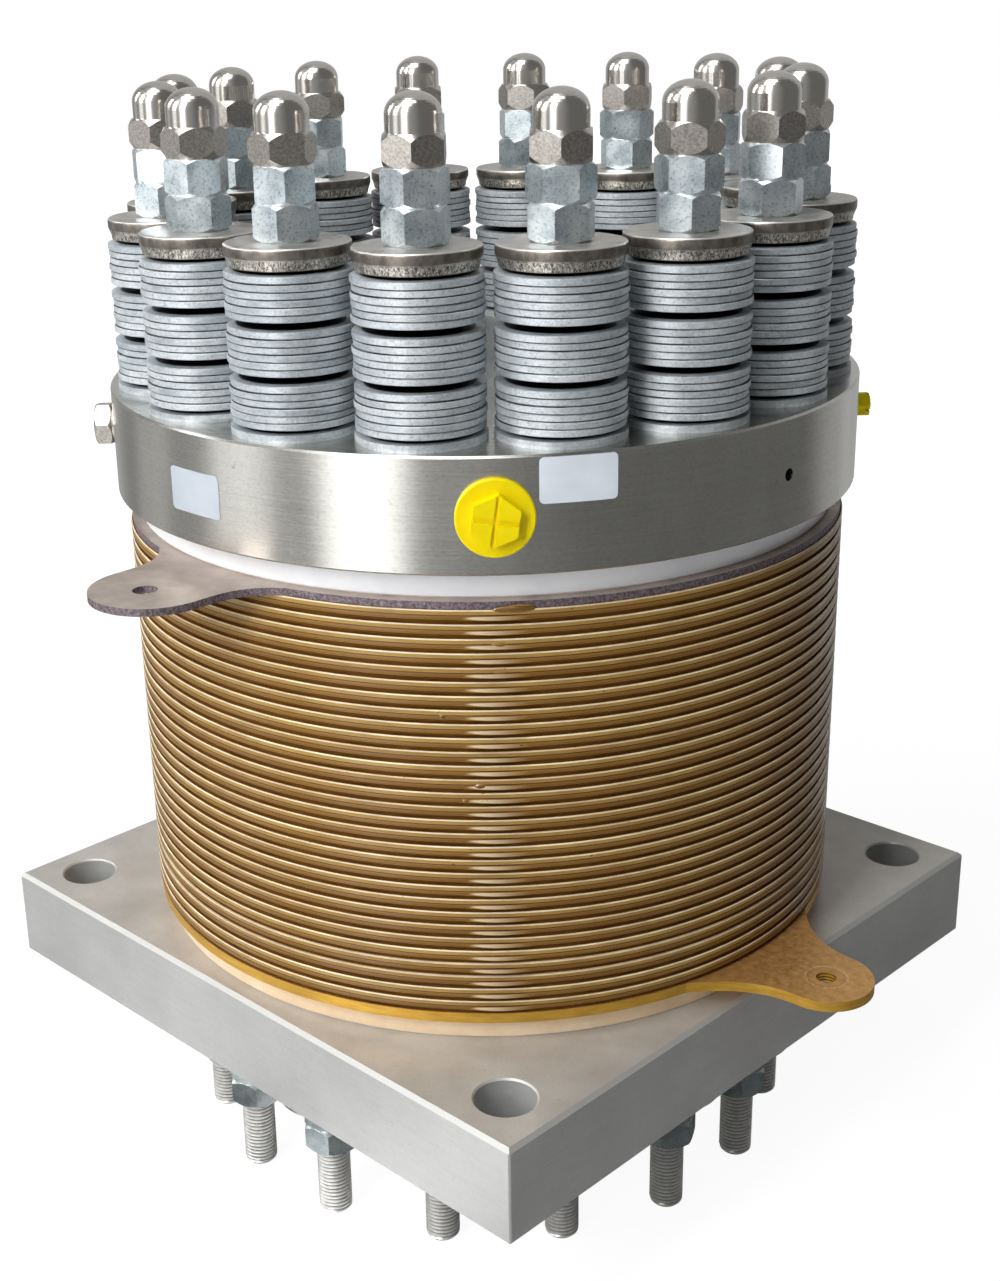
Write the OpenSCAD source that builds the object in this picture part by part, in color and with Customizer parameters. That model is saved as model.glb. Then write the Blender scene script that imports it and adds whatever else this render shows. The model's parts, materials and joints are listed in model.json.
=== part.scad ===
// Electrolyzer stack: thirty cells pressed between a square base plate and a round end plate
// by sixteen tie rods, each held by a pack of disc springs under two nuts and a cap nut.
// Millimetres. The origin is the centre of the base plate's underside, and +Z runs up the stack.

/* [Base plate] */
// Side of the square base plate
base_side = 350; // [346:1:420]
// Thickness of the base plate
base_t = 46.5; // [25:0.5:70]
// Chamfer round the base plate's top and bottom edges
base_chamfer = 1.8; // [0.5:0.1:4]
// Chamfer down the base plate's four upright corners
base_corner = 0.7; // [0.4:0.1:8]
// Distance between neighbouring corner holes
corner_spacing = 298; // [288:1:304]
// Radius of each corner hole
corner_hole_r = 13.4; // [6:0.1:15]
// Chamfer at the upper mouths of the corner holes
corner_hole_chamfer = 0.8; // [0.2:0.1:2]

/* [Cells] */
// Number of cells in the stack
cells = 30; // [12:1:30]
// Outer radius of a cell frame
cell_r = 170.5; // [168:0.5:174]
// Height of a cell frame
frame_h = 5.5; // [4.5:0.1:8]
// Thickness of the plate between two cells
separator_t = 0.7; // [0.4:0.1:1.5]
// How far the separator plate stays inside the frame's rim
separator_inset = 1.1; // [0.6:0.1:2]
// Height of the recessed neck under a frame's rim
neck_h = 1.4; // [0.6:0.1:2]
// Depth of the recessed neck
neck_depth = 1.4; // [0.6:0.1:2.5]
// Chamfer along the rim's upper edge
rim_chamfer = 0.4; // [0.1:0.05:0.6]
// Chamfer along the rim's lower edge
lip_chamfer = 0.15; // [0.05:0.05:0.4]
// Depth of the fine groove that runs round the middle of the rim
rim_groove = 0.15; // [0.05:0.05:0.3]
// How far the moulding pad stands out of the rim
pad_out = 0.9; // [0.3:0.05:1]
// Width of the moulding pad along the rim
pad_w = 28; // [16:1:40]
// Angle of the moulding pad round the stack
pad_angle = -45; // [-50:1:-40]
// Radius of the active area
active_r = 100; // [80:1:104]
// Width of the ledge that carries the membrane's edge
ledge_w = 8; // [4:0.5:9]
// Height of the ledge, which is the anode layer's thickness
ledge_h = 2.7; // [1.5:0.1:3]
// Thickness of a membrane
membrane_t = 0.2; // [0.1:0.05:0.4]
// Gap round each piece that lies inside a frame
lay_gap = 0.3; // [0.1:0.05:0.6]
// Radius of the four upright fluid passages
passage_r = 8; // [4:0.5:8.5]
// Radius of the circle that the fluid passages stand on
passage_circle_r = 126; // [124:0.5:127]
// Width of the feed channels between a passage and the active area
feed_w = 9; // [4:0.5:12]
// Depth of the feed channels
feed_d = 1.1; // [0.5:0.1:1.3]

/* [Current collectors] */
// Thickness of the positive collector at the bottom
positive_t = 4.8; // [3:0.1:10]
// Radius of the positive collector's disc
positive_r = 170; // [168:0.5:174]
// Reach of the positive collector's ear from the stack's axis
positive_reach = 227; // [222:1:240]
// Radius of the positive ear's rounded tip
positive_tip_r = 21.5; // [16:0.5:30]
// Half width that the positive ear gains where it meets the disc
positive_flare = 39; // [30:1:44]
// Distance of the positive ear's threaded hole from the stack's axis
positive_hole_at = 206; // [200:0.5:208]
// Radius of the positive ear's threaded hole
positive_hole_r = 4.6; // [3:0.1:6]
// Thickness of the negative collector at the top
negative_t = 3.3; // [2:0.1:8]
// Radius of the negative collector's disc
negative_r = 169.6; // [168:0.1:173]
// Reach of the negative collector's ear from the stack's axis
negative_reach = 227; // [222:1:240]
// Radius of the negative ear's rounded tip
negative_tip_r = 27.5; // [20:0.5:30]
// Half width that the negative ear gains where it meets the disc
negative_flare = 50; // [30:1:52]
// Distance of the negative ear's hole from the stack's axis
negative_hole_at = 204; // [198:0.5:208]
// Radius of the hole in the negative ear
negative_hole_r = 5.35; // [3:0.05:7]

/* [Insulators] */
// Thickness of the lower insulator
lower_insulator_t = 10; // [5:0.5:20]
// Radius of the lower insulator
lower_insulator_r = 165.7; // [164:0.1:172]
// Thickness of the upper insulator
upper_insulator_t = 12.4; // [6:0.1:25]
// Radius of the upper insulator
upper_insulator_r = 164.8; // [164:0.1:172]
// Chamfer round both insulators
insulator_chamfer = 0.8; // [0.2:0.1:2]

/* [End plate] */
// Radius of the round end plate
end_r = 175; // [172:0.5:190]
// Thickness of the end plate
end_t = 48.7; // [44:0.1:65]
// Chamfer round the end plate
end_chamfer = 0.9; // [0.3:0.1:3]
// Radius of the two main water ports
main_port_r = 12.1; // [8:0.1:13]
// Radius of the two small ports
small_port_r = 6; // [3.5:0.1:7.5]
// Radius of the small threaded hole in the end plate's rim
rim_hole_r = 2.7; // [1.5:0.1:4]
// Depth of the small threaded hole
rim_hole_depth = 16; // [6:1:20]

/* [Tie rods] */
// Number of tie rods
rods = 16; // [16:4:16]
// Radius of the circle that the tie rods stand on
rod_circle_r = 144; // [143:0.25:145]
// Radius of a tie rod
rod_r = 8; // [5:0.1:8.4]
// How far each rod stands out under the lowest nut
rod_tail = 37.4; // [10:0.1:60]
// How far each rod reaches into its cap nut
rod_in_cap = 15; // [6:0.5:18]
// Rounding of the rod's lower end
rod_round = 3.2; // [0.5:0.1:4]
// Gap between a rod and the bore of a nut
thread_gap = 0.05; // [0.02:0.01:0.2]
// Gap between a rod and the plates and washers that it passes
rod_gap = 0.75; // [0.3:0.05:1.2]
// Wall of the insulating sleeve round each rod
sleeve_wall = 1.5; // [0.8:0.1:2]
// Gap between a rod and its sleeve
sleeve_bore_gap = 0.4; // [0.2:0.05:0.6]
// Gap between a sleeve and the pieces that it passes
sleeve_gap = 0.3; // [0.1:0.05:0.6]

/* [Nuts and washers] */
// Width across the flats of the nuts
nut_af = 24; // [20:0.5:27]
// Height of a nut over the end plate
nut_h = 14.8; // [8:0.1:20]
// Height of a nut under the base plate
base_nut_h = 13; // [8:0.1:20]
// Height by which the cone at a nut's ends cuts its corners
nut_chamfer = 1.8; // [0.5:0.1:2.5]
// Height of the hexagon of a cap nut
cap_hex_h = 12.6; // [8:0.1:18]
// Height by which the cone at a cap nut's ends cuts its corners
cap_chamfer = 3; // [0.5:0.1:3.5]
// Radius of a cap nut's dome
cap_dome_r = 11.1; // [9:0.1:11.8]
// Height of the rounded top of a cap nut's dome
cap_dome_h = 8.4; // [5:0.1:8.8]
// Height of a cap nut
cap_h = 28; // [27:0.5:40]
// Outer radius of the seat washer under each spring pack
seat_r = 27; // [24:0.25:27.5]
// Thickness of the seat washer
seat_t = 3; // [1.5:0.1:5]
// Outer radius of the thick washers
thick_r = 26; // [22:0.25:27]
// Thickness of the thick washer over each spring pack
thick_t = 9; // [5:0.1:14]
// How much the punched edge of a thick washer tapers in
thick_taper = 1.1; // [0.2:0.1:2]
// Thickness of the thick washer under the base plate
base_thick_t = 9.6; // [5:0.1:14]
// Outer radius of the small flat washer under the base plate
flat_r = 15; // [12:0.25:20]
// Thickness of the small flat washer
flat_t = 3; // [1.5:0.1:5]

/* [Disc springs] */
// Outer radius of a disc spring
disc_r = 26.5; // [22:0.25:27]
// Radius of the hole in a disc spring
disc_bore_r = 9.3; // [9.2:0.1:11]
// Thickness of one disc
disc_t = 2.88; // [1.5:0.02:4]
// Height of a disc's cone
disc_cone = 1.8; // [0.5:0.1:3]
// Chamfer round a disc's outer edge
disc_chamfer = 0.45; // [0.1:0.05:0.8]
// Discs that lie nested one in the next, facing the same way
disc_nested = 3; // [1:1:4]
// Gap between neighbouring discs
disc_gap = 0.05; // [0.02:0.01:0.2]
// How far a disc may sit off the rod's axis
disc_play = 0.35; // [0:0.05:0.6]

/* [Port plugs] */
// Radius of a main plug's flange
plug_flange_r = 16; // [14:0.25:20]
// Thickness of a main plug's flange over the end plate's rim
plug_flange_t = 2.6; // [1.5:0.1:5]
// Width across the flats of a main plug's hexagon
plug_af = 18.6; // [12:0.2:24]
// Height of a main plug's hexagon
plug_hex_h = 5; // [2.5:0.1:8]
// Width of the cross groove in a main plug
plug_groove_w = 2; // [0.8:0.1:3]
// Depth of the cross groove
plug_groove_d = 1.2; // [0.4:0.1:2]
// Length of a plug's shank in its port
plug_shank = 12; // [6:0.5:16]
// Gap between a plug's shank and its port
plug_gap = 0.1; // [0.05:0.05:0.3]
// Radius of the small plastic plug's flange
vent_flange_r = 8; // [6.2:0.1:10]
// Thickness of the small plastic plug's flange over the end plate's rim
vent_flange_t = 2.2; // [1:0.1:6]
// Width across the flats of the small plastic plug's hexagon
vent_af = 10.4; // [8:0.2:11]
// Height of the small plastic plug's hexagon
vent_hex_h = 7.2; // [3:0.1:9]
// Width of the small plastic plug's cross groove
vent_groove_w = 1.4; // [0.8:0.1:2]
// Depth of the small plastic plug's cross groove
vent_groove_d = 1.6; // [0.4:0.1:2]
// Width across the flats of the steel plug
drain_af = 18.6; // [14:0.2:24]
// Height of the steel plug's hexagon
drain_hex_h = 7.8; // [4:0.1:12]
// Radius of the steel plug's collar
drain_collar_r = 9; // [8:0.25:12]
// Thickness of the steel plug's collar over the end plate's rim
drain_collar_t = 2.8; // [1.5:0.1:5]

/* [Hidden] */
$fn = 96;
eps = 0.01;
pitch = frame_h + separator_t;
rod_step = 360 / rods;
PASSAGE_ANGLES = [-45, 45, 135, -135];

// Levels up the stack
z_lower_insulator = base_t;
z_positive = z_lower_insulator + lower_insulator_t;
z_cells = z_positive + positive_t;
z_negative = z_cells + cells * pitch;
z_upper_insulator = z_negative + negative_t;
z_end = z_upper_insulator + upper_insulator_t;
z_seat = z_end + end_t;
z_springs = z_seat + seat_t;
disc_slope = disc_cone / (disc_r - disc_bore_r);
disc_step = disc_t + disc_gap + 2 * disc_play * disc_slope;
group_h = 2 * disc_nested * disc_step + 2 * disc_cone;
z_thick = z_springs + 3 * group_h;
z_nut = z_thick + thick_t;
z_lock_nut = z_nut + nut_h;
z_cap = z_lock_nut + nut_h;
z_base_thick = -base_thick_t;
z_base_flat = z_base_thick - flat_t;
z_base_nut = z_base_flat - base_nut_h;
z_base_lock_nut = z_base_nut - base_nut_h;
z_rod = z_base_lock_nut - rod_tail;
z_port = z_end + end_t / 2;

// Radii that follow the rod
nut_bore_r = rod_r + thread_gap;
rod_hole_r = rod_r + rod_gap;
sleeve_in_r = rod_r + sleeve_bore_gap;
sleeve_r = sleeve_in_r + sleeve_wall;
sleeve_hole_r = sleeve_r + sleeve_gap;

// Turn of each nut as its wrench left it, from rod to rod
TURN_NUT = [12, 44, 4, 57, 1, 13, 51, 33, 8, 40, 22, 49, 5, 36, 18, 54];
TURN_LOCK = [31, 7, 20, 57, 41, 33, 22, 10, 46, 2, 37, 25, 52, 14, 43, 28];
TURN_CAP = [5, 57, 58, 11, 11, 36, 14, 40, 26, 50, 3, 33, 17, 45, 8, 21];
TURN_BASE = [27, 42, 10, 33, 6, 55, 15, 48, 21, 3, 39, 12, 58, 30, 45, 18];
TURN_BASE_LOCK = [9, 19, 10, 25, 51, 55, 15, 36, 2, 44, 28, 53, 16, 40, 7, 34];

function two_digits(n) = n < 10 ? str("0", n) : str(n);
function frame_name(i) = str("cell_frame_", two_digits(i + 1));
function rod_angle(i) = 11.25 - 135 + i * rod_step;

// Places children at every tie rod
module at_rods() {
    for (i = [0 : rods - 1])
        rotate([0, 0, rod_angle(i)])
            translate([rod_circle_r, 0, 0])
                children();
}

// Flat disc from height z0 to z1 with chamfered rims
module chamfered_disc(r, h, c) {
    rotate_extrude()
        polygon([[0, 0], [r - c, 0], [r, c], [r, h - c], [r - c, h], [0, h]]);
}

// Holes for the tie rods through a plate from height z, h tall
module rod_holes(r, z, h) {
    at_rods()
        translate([0, 0, z - eps])
            cylinder(r = r, h = h + 2 * eps);
}

// The four upright fluid passages through a plate
module passage_holes(z, h) {
    for (a = PASSAGE_ANGLES)
        rotate([0, 0, a])
            translate([passage_circle_r, 0, z - eps])
                cylinder(r = passage_r, h = h + 2 * eps);
}

// Square plate with four chamfered corner holes and the rods' holes
module base_plate() {
    s = base_side / 2;
    k = base_corner;
    c = base_chamfer;
    color("lightgray")
        difference() {
            intersection() {
                linear_extrude(base_t)
                    polygon([
                        [-s + k, -s], [s - k, -s], [s, -s + k], [s, s - k],
                        [s - k, s], [-s + k, s], [-s, s - k], [-s, -s + k]
                    ]);
                rotate([90, 0, 0])
                    linear_extrude(2 * base_side, center = true)
                        base_section(s, c);
                rotate([90, 0, 90])
                    linear_extrude(2 * base_side, center = true)
                        base_section(s, c);
            }
            rod_holes(rod_hole_r, 0, base_t);
            for (x = [-1, 1], y = [-1, 1])
                translate([x * corner_spacing / 2, y * corner_spacing / 2, 0])
                    corner_hole();
        }
}

module base_section(s, c) {
    polygon([[-s + c, 0], [s - c, 0], [s, c], [s, base_t - c], [s - c, base_t],
             [-s + c, base_t], [-s, base_t - c], [-s, c]]);
}

module corner_hole() {
    r = corner_hole_r;
    c = corner_hole_chamfer;
    rotate_extrude()
        polygon([[0, -1], [r, -1], [r, base_t - c], [r + c + 1, base_t + 1], [0, base_t + 1]]);
}

// Insulating plate between the base plate and the positive collector
module lower_insulator() {
    color("moccasin")
        translate([0, 0, z_lower_insulator])
            difference() {
                chamfered_disc(lower_insulator_r, lower_insulator_t, insulator_chamfer);
                rod_holes(sleeve_hole_r, 0, lower_insulator_t);
            }
}

// Insulating plate between the negative collector and the end plate
module upper_insulator() {
    color("white")
        translate([0, 0, z_upper_insulator])
            difference() {
                chamfered_disc(upper_insulator_r, upper_insulator_t, insulator_chamfer);
                rod_holes(sleeve_hole_r, 0, upper_insulator_t);
                passage_holes(0, upper_insulator_t);
            }
}

// Outline of a collector's ear along +X: a round tip that flares out to the disc
module ear_outline(reach, tip_r, flare, root, power) {
    xc = reach - tip_r;
    steps = 14;
    edge = [for (k = [0 : steps])
        let (u = k / steps)
            [root + (xc - root) * (1 - u), tip_r + flare * pow(u, power)]];
    union() {
        translate([xc, 0])
            circle(r = tip_r);
        polygon(concat(edge, [for (k = [steps : -1 : 0]) [edge[k][0], -edge[k][1]]]));
    }
}

// Thick plate under the cells, with a threaded ear along +X
module positive_collector() {
    color("goldenrod")
        translate([0, 0, z_positive])
            difference() {
                union() {
                    cylinder(r = positive_r, h = positive_t);
                    linear_extrude(positive_t)
                        ear_outline(positive_reach, positive_tip_r, positive_flare, 154, 2.2);
                }
                rod_holes(sleeve_hole_r, 0, positive_t);
                translate([positive_hole_at, 0, -eps])
                    cylinder(r = positive_hole_r, h = positive_t + 2 * eps);
            }
}

// Thin plate over the cells, with an ear along -Y that has a plain hole
module negative_collector() {
    color("rosybrown")
        translate([0, 0, z_negative])
            difference() {
                union() {
                    cylinder(r = negative_r, h = negative_t);
                    rotate([0, 0, -90])
                        linear_extrude(negative_t)
                            ear_outline(negative_reach, negative_tip_r, negative_flare, 150, 3.5);
                }
                rod_holes(sleeve_hole_r, 0, negative_t);
                passage_holes(0, negative_t);
                rotate([0, 0, -90])
                    translate([negative_hole_at, 0, -eps])
                        cylinder(r = negative_hole_r, h = negative_t + 2 * eps);
            }
}

// Half section of a cell frame: neck, chamfered lip, rim with a fine groove, upper chamfer,
// and inside the window the ledge under the membrane's recess
module frame_section() {
    rim_mid = (neck_h + frame_h) / 2;
    recess_r = active_r + ledge_w;
    polygon([
        [active_r, 0],
        [cell_r - neck_depth, 0],
        [cell_r - neck_depth, neck_h],
        [cell_r - lip_chamfer, neck_h],
        [cell_r, neck_h + lip_chamfer],
        [cell_r, rim_mid - rim_groove],
        [cell_r - rim_groove, rim_mid],
        [cell_r, rim_mid + rim_groove],
        [cell_r, frame_h - rim_chamfer],
        [cell_r - rim_chamfer, frame_h],
        [recess_r, frame_h],
        [recess_r, ledge_h],
        [active_r, ledge_h]
    ]);
}

// Feed channel from a passage in to the active area, at height z
module feed_channel(a, z) {
    rotate([0, 0, a])
        translate([active_r - 1, -feed_w / 2, z])
            cube([passage_circle_r - active_r + 1, feed_w, feed_d + eps]);
}

// One cell's frame. The pad is the mark of its moulding gate.
module cell_frame(i) {
    pad_r = pad_radius();
    pad_h = (frame_h - neck_h) / 2;
    color("darkgoldenrod")
        translate([0, 0, z_cells + i * pitch + separator_t])
            difference() {
                union() {
                    rotate_extrude()
                        frame_section();
                    rotate([0, 0, pad_angle])
                        intersection() {
                            translate([cell_r + pad_out - pad_r, 0, neck_h - 0.2])
                                cylinder(r1 = pad_r, r2 = pad_r - pad_out / 2, h = pad_h);
                            translate([cell_r - 1.25, -pad_w, 0])
                                cube([4, 2 * pad_w, frame_h]);
                        }
                }
                rod_holes(sleeve_hole_r, 0, frame_h);
                passage_holes(0, frame_h);
                feed_channel(-45, -eps);
                feed_channel(135, -eps);
                feed_channel(45, frame_h - feed_d);
                feed_channel(-135, frame_h - feed_d);
            }
}

// Radius at which a pad that stands out by pad_out is pad_w wide on the rim
function pad_radius() = 1 / (1 / cell_r + 2 * pad_out / pow(pad_w / 2, 2));

// Thin metal plates between the cells
module separator_plates() {
    color("dimgray")
        for (i = [0 : cells - 1])
            translate([0, 0, z_cells + i * pitch])
                difference() {
                    cylinder(r = cell_r - separator_inset, h = separator_t);
                    rod_holes(sleeve_hole_r, 0, separator_t);
                    passage_holes(0, separator_t);
                }
}

// Porous metal layers on the anode side, one in each window
module anode_layers() {
    color("silver")
        for (i = [0 : cells - 1])
            translate([0, 0, z_cells + i * pitch + separator_t])
                cylinder(r = active_r - lay_gap, h = ledge_h);
}

// Membranes, each lying with its edge on the frame's ledge
module membranes() {
    color("saddlebrown")
        for (i = [0 : cells - 1])
            translate([0, 0, z_cells + i * pitch + separator_t + ledge_h])
                cylinder(r = active_r + ledge_w - lay_gap, h = membrane_t);
}

// Porous layers on the cathode side
module cathode_layers() {
    color("black")
        for (i = [0 : cells - 1])
            translate([0, 0, z_cells + i * pitch + separator_t + ledge_h + membrane_t])
                cylinder(r = active_r - lay_gap, h = frame_h - ledge_h - membrane_t);
}

// Sealing rings that press each membrane on its ledge, notched for the gas channels
module cell_seals() {
    h = frame_h - ledge_h - membrane_t;
    color("darkslategray")
        for (i = [0 : cells - 1])
            translate([0, 0, z_cells + i * pitch + separator_t + ledge_h + membrane_t])
                difference() {
                    cylinder(r = active_r + ledge_w - lay_gap, h = h);
                    translate([0, 0, -eps])
                        cylinder(r = active_r, h = h + 2 * eps);
                    feed_channel(45, h - feed_d);
                    feed_channel(-135, h - feed_d);
                }
}

// Insulating tubes round the rods, from the base plate up to the end plate
module rod_sleeves() {
    color("ivory")
        at_rods()
            translate([0, 0, base_t])
                difference() {
                    cylinder(r = sleeve_r, h = z_end - base_t);
                    translate([0, 0, -eps])
                        cylinder(r = sleeve_in_r, h = z_end - base_t + 2 * eps);
                }
}

// Round steel end plate: rods' holes, fluid passages from below and ports from the rim
module end_plate() {
    color("gray")
        translate([0, 0, z_end])
            difference() {
                chamfered_disc(end_r, end_t, end_chamfer);
                rod_holes(rod_hole_r, 0, end_t);
                for (a = PASSAGE_ANGLES)
                    rotate([0, 0, a])
                        translate([passage_circle_r, 0, -eps])
                            cylinder(r = passage_r, h = end_t / 2);
                port(-45, main_port_r);
                port(135, main_port_r);
                port(45, small_port_r);
                port(-135, small_port_r);
                translate([end_r - rim_hole_depth, 0, end_t / 2])
                    rotate([0, 90, 0])
                        cylinder(r = rim_hole_r, h = rim_hole_depth + 1);
            }
}

// Bore from the rim in to a fluid passage
module port(a, r) {
    rotate([0, 0, a])
        translate([passage_circle_r, 0, end_t / 2])
            rotate([0, 90, 0])
                cylinder(r = r, h = end_r - passage_circle_r + 1);
}

// Tie rod with a rounded lower end and a chamfered top inside its cap nut
module tie_rod() {
    h = z_cap + rod_in_cap - z_rod;
    arc = [for (k = [0 : 6])
        [rod_r - rod_round * (1 - sin(15 * k)), rod_round * (1 - cos(15 * k))]];
    translate([0, 0, z_rod])
        rotate_extrude()
            polygon(concat([[0, 0]], arc, [[rod_r, h - 1], [rod_r - 1, h], [0, h]]));
}

module tie_rods() {
    color("darkgray")
        at_rods()
            tie_rod();
}

// Plain ring
module ring(r, bore, h) {
    difference() {
        cylinder(r = r, h = h);
        translate([0, 0, -eps])
            cylinder(r = bore, h = h + 2 * eps);
    }
}

// Thick punched washer: rolled upper edge, smooth band, then a torn zone that tapers in
module thick_washer(t, taper) {
    rotate_extrude()
        polygon([
            [rod_hole_r, 0], [thick_r - taper - 0.4, 0], [thick_r - taper, 0.4],
            [thick_r, t * 0.55], [thick_r, t - 1.2], [thick_r - 0.35, t - 0.35],
            [thick_r - 1.2, t], [rod_hole_r, t]
        ]);
}

module seat_washers() {
    color("silver")
        at_rods()
            translate([0, 0, z_seat])
                ring(seat_r, rod_hole_r, seat_t);
}

module thick_washers() {
    color("rosybrown")
        at_rods()
            translate([0, 0, z_thick])
                thick_washer(thick_t, thick_taper);
}

module base_thick_washers() {
    color("silver")
        at_rods()
            translate([0, 0, z_base_thick])
                thick_washer(base_thick_t, thick_taper);
}

module base_flat_washers() {
    color("silver")
        at_rods()
            translate([0, 0, z_base_flat])
                ring(flat_r, rod_hole_r, flat_t);
}

// Hexagon whose corners a cone cuts by the heights top and bottom, h high
module hexagon(af, h, top, bottom) {
    corner = af / sqrt(3);
    c = corner - af / 2 * 0.985;
    intersection() {
        cylinder(r = corner, h = h, $fn = 6);
        rotate_extrude()
            polygon([
                [0, 0], [corner - (bottom > 0 ? c : 0), 0], [corner, bottom],
                [corner, h - top], [corner - (top > 0 ? c : 0), h], [0, h]
            ]);
    }
}

// Hexagon nut of height h with countersunk mouths
module nut(h) {
    difference() {
        hexagon(nut_af, h, nut_chamfer, nut_chamfer);
        rotate_extrude()
            polygon([
                [0, -eps], [nut_bore_r + 1 + eps, -eps], [nut_bore_r, 1], [nut_bore_r, h - 1],
                [nut_bore_r + 1 + eps, h + eps], [0, h + eps]
            ]);
    }
}

// A nut of height h on every rod at height z, each turned by its own angle
module nuts(z, h, turns) {
    for (i = [0 : rods - 1])
        rotate([0, 0, rod_angle(i)])
            translate([rod_circle_r, 0, z])
                rotate([0, 0, turns[i] - rod_angle(i)])
                    nut(h);
}

module top_nuts() {
    color("lightsteelblue")
        nuts(z_nut, nut_h, TURN_NUT);
}

module top_lock_nuts() {
    color("lightsteelblue")
        nuts(z_lock_nut, nut_h, TURN_LOCK);
}

module base_nuts() {
    color("lightsteelblue")
        nuts(z_base_nut, base_nut_h, TURN_BASE);
}

module base_lock_nuts() {
    color("lightsteelblue")
        nuts(z_base_lock_nut, base_nut_h, TURN_BASE_LOCK);
}

// Cap nut: hexagon, upright collar and a low rounded dome over a blind bore
module cap_nut() {
    depth = rod_in_cap + 2;
    neck = cap_h - cap_dome_h;
    arc = [for (k = [0 : 12]) [cap_dome_r * cos(7.5 * k), neck + cap_dome_h * sin(7.5 * k)]];
    difference() {
        union() {
            hexagon(nut_af, cap_hex_h, cap_chamfer, cap_chamfer);
            rotate_extrude()
                polygon(concat([[0, 1], [cap_dome_r, 1]], arc));
        }
        translate([0, 0, -eps])
            cylinder(r = nut_bore_r, h = depth + eps);
    }
}

module cap_nuts() {
    color("gainsboro")
        for (i = [0 : rods - 1])
            rotate([0, 0, rod_angle(i)])
                translate([rod_circle_r, 0, z_cap])
                    rotate([0, 0, TURN_CAP[i] - rod_angle(i)])
                        cap_nut();
}

// One disc spring, a shallow cone with its inner edge up, standing on its outer edge
module disc_spring() {
    c = disc_chamfer;
    s = disc_slope;
    rotate_extrude()
        polygon([
            [disc_r - c, c * s], [disc_r, c], [disc_r, disc_t - c * 0.6],
            [disc_r - c, disc_t + c * s], [disc_bore_r, disc_cone + disc_t],
            [disc_bore_r, disc_cone]
        ]);
}

// Two nested sets that meet at their outer edges: one set dished up, the other turned over on it
module spring_group(group) {
    half = disc_nested * disc_step + disc_cone;
    for (i = [0 : rods - 1], k = [0 : 2 * disc_nested - 1])
        let (
            turn = 137 * k + 71 * i + 40 * group,
            up = k < disc_nested,
            level = (up ? k * disc_step : half + (k - disc_nested) * disc_step) + disc_gap / 2
        )
            rotate([0, 0, rod_angle(i)])
                translate([rod_circle_r, 0, z_springs + group * group_h + level])
                    translate([disc_play * cos(turn), disc_play * sin(turn), up ? disc_cone + disc_t : 0])
                        mirror([0, 0, up ? 1 : 0])
                            disc_spring();
}

module disc_springs_lower() {
    color("lightslategray")
        spring_group(0);
}

module disc_springs_middle() {
    color("lightslategray")
        spring_group(1);
}

module disc_springs_upper() {
    color("lightslategray")
        spring_group(2);
}

// Puts a plug's axis along +X out of the end plate's rim, at angle a
module at_port(a) {
    rotate([0, 0, a])
        translate([0, 0, z_port])
            rotate([0, 90, 0])
                children();
}

// Collar whose back follows the end plate's round rim. The axis is +Z, out of the stack.
module seated_collar(r, t, chamfer) {
    difference() {
        translate([0, 0, end_r - 6])
            rotate_extrude()
                polygon([
                    [0, 0], [r, 0], [r, 6 + t - chamfer], [r - chamfer, 6 + t], [0, 6 + t]
                ]);
        rotate([0, -90, 0])
            cylinder(r = end_r, h = 4 * r, center = true, $fn = 180);
    }
}

// Shank of a plug in a port of radius port_r, up into a flange of thickness t
module plug_shank_in(port_r, t) {
    translate([0, 0, end_r - plug_shank])
        cylinder(r = port_r - plug_gap, h = plug_shank + t / 2);
}

// Cross groove in the end of a hexagon across its flats af, at height z
module cross_groove(af, z, w, d, turn) {
    for (k = [0, 90])
        rotate([0, 0, turn + k])
            translate([-w / 2, -af / 2 - 2, z - d])
                cube([w, af + 4, d + 1]);
}

// Main port's plastic plug: shank, flange and a hexagon with a cross groove
module main_plug(turn) {
    top = end_r + plug_flange_t;
    difference() {
        union() {
            seated_collar(plug_flange_r, plug_flange_t, 0.5);
            plug_shank_in(main_port_r, plug_flange_t);
            translate([0, 0, top - 0.5])
                rotate([0, 0, turn])
                    hexagon(plug_af, plug_hex_h + 0.5, 0, 0);
        }
        cross_groove(plug_af, top + plug_hex_h, plug_groove_w, plug_groove_d, turn);
    }
}

module inlet_plug() {
    color("yellow")
        at_port(-45)
            main_plug(172);
}

module outlet_plug() {
    color("yellow")
        at_port(135)
            main_plug(75);
}

// Small plastic plug, made like the main ones
module vent_plug() {
    top = end_r + vent_flange_t;
    color("yellow")
        at_port(45)
            difference() {
                union() {
                    seated_collar(vent_flange_r, vent_flange_t, 0.5);
                    plug_shank_in(small_port_r, vent_flange_t);
                    translate([0, 0, top - 0.5])
                        rotate([0, 0, 24])
                            hexagon(vent_af, vent_hex_h + 0.5, 0, 0);
                }
                cross_groove(vent_af, top + vent_hex_h, vent_groove_w, vent_groove_d, 24);
            }
}

// Steel plug with a round collar under its hexagon
module drain_plug() {
    color("gainsboro")
        at_port(-135)
            union() {
                seated_collar(drain_collar_r, drain_collar_t, 0.6);
                plug_shank_in(small_port_r, drain_collar_t);
                translate([0, 0, end_r + drain_collar_t - 0.3])
                    rotate([0, 0, 37])
                        hexagon(drain_af, drain_hex_h + 0.3, 1.2, 1.2);
            }
}

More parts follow.
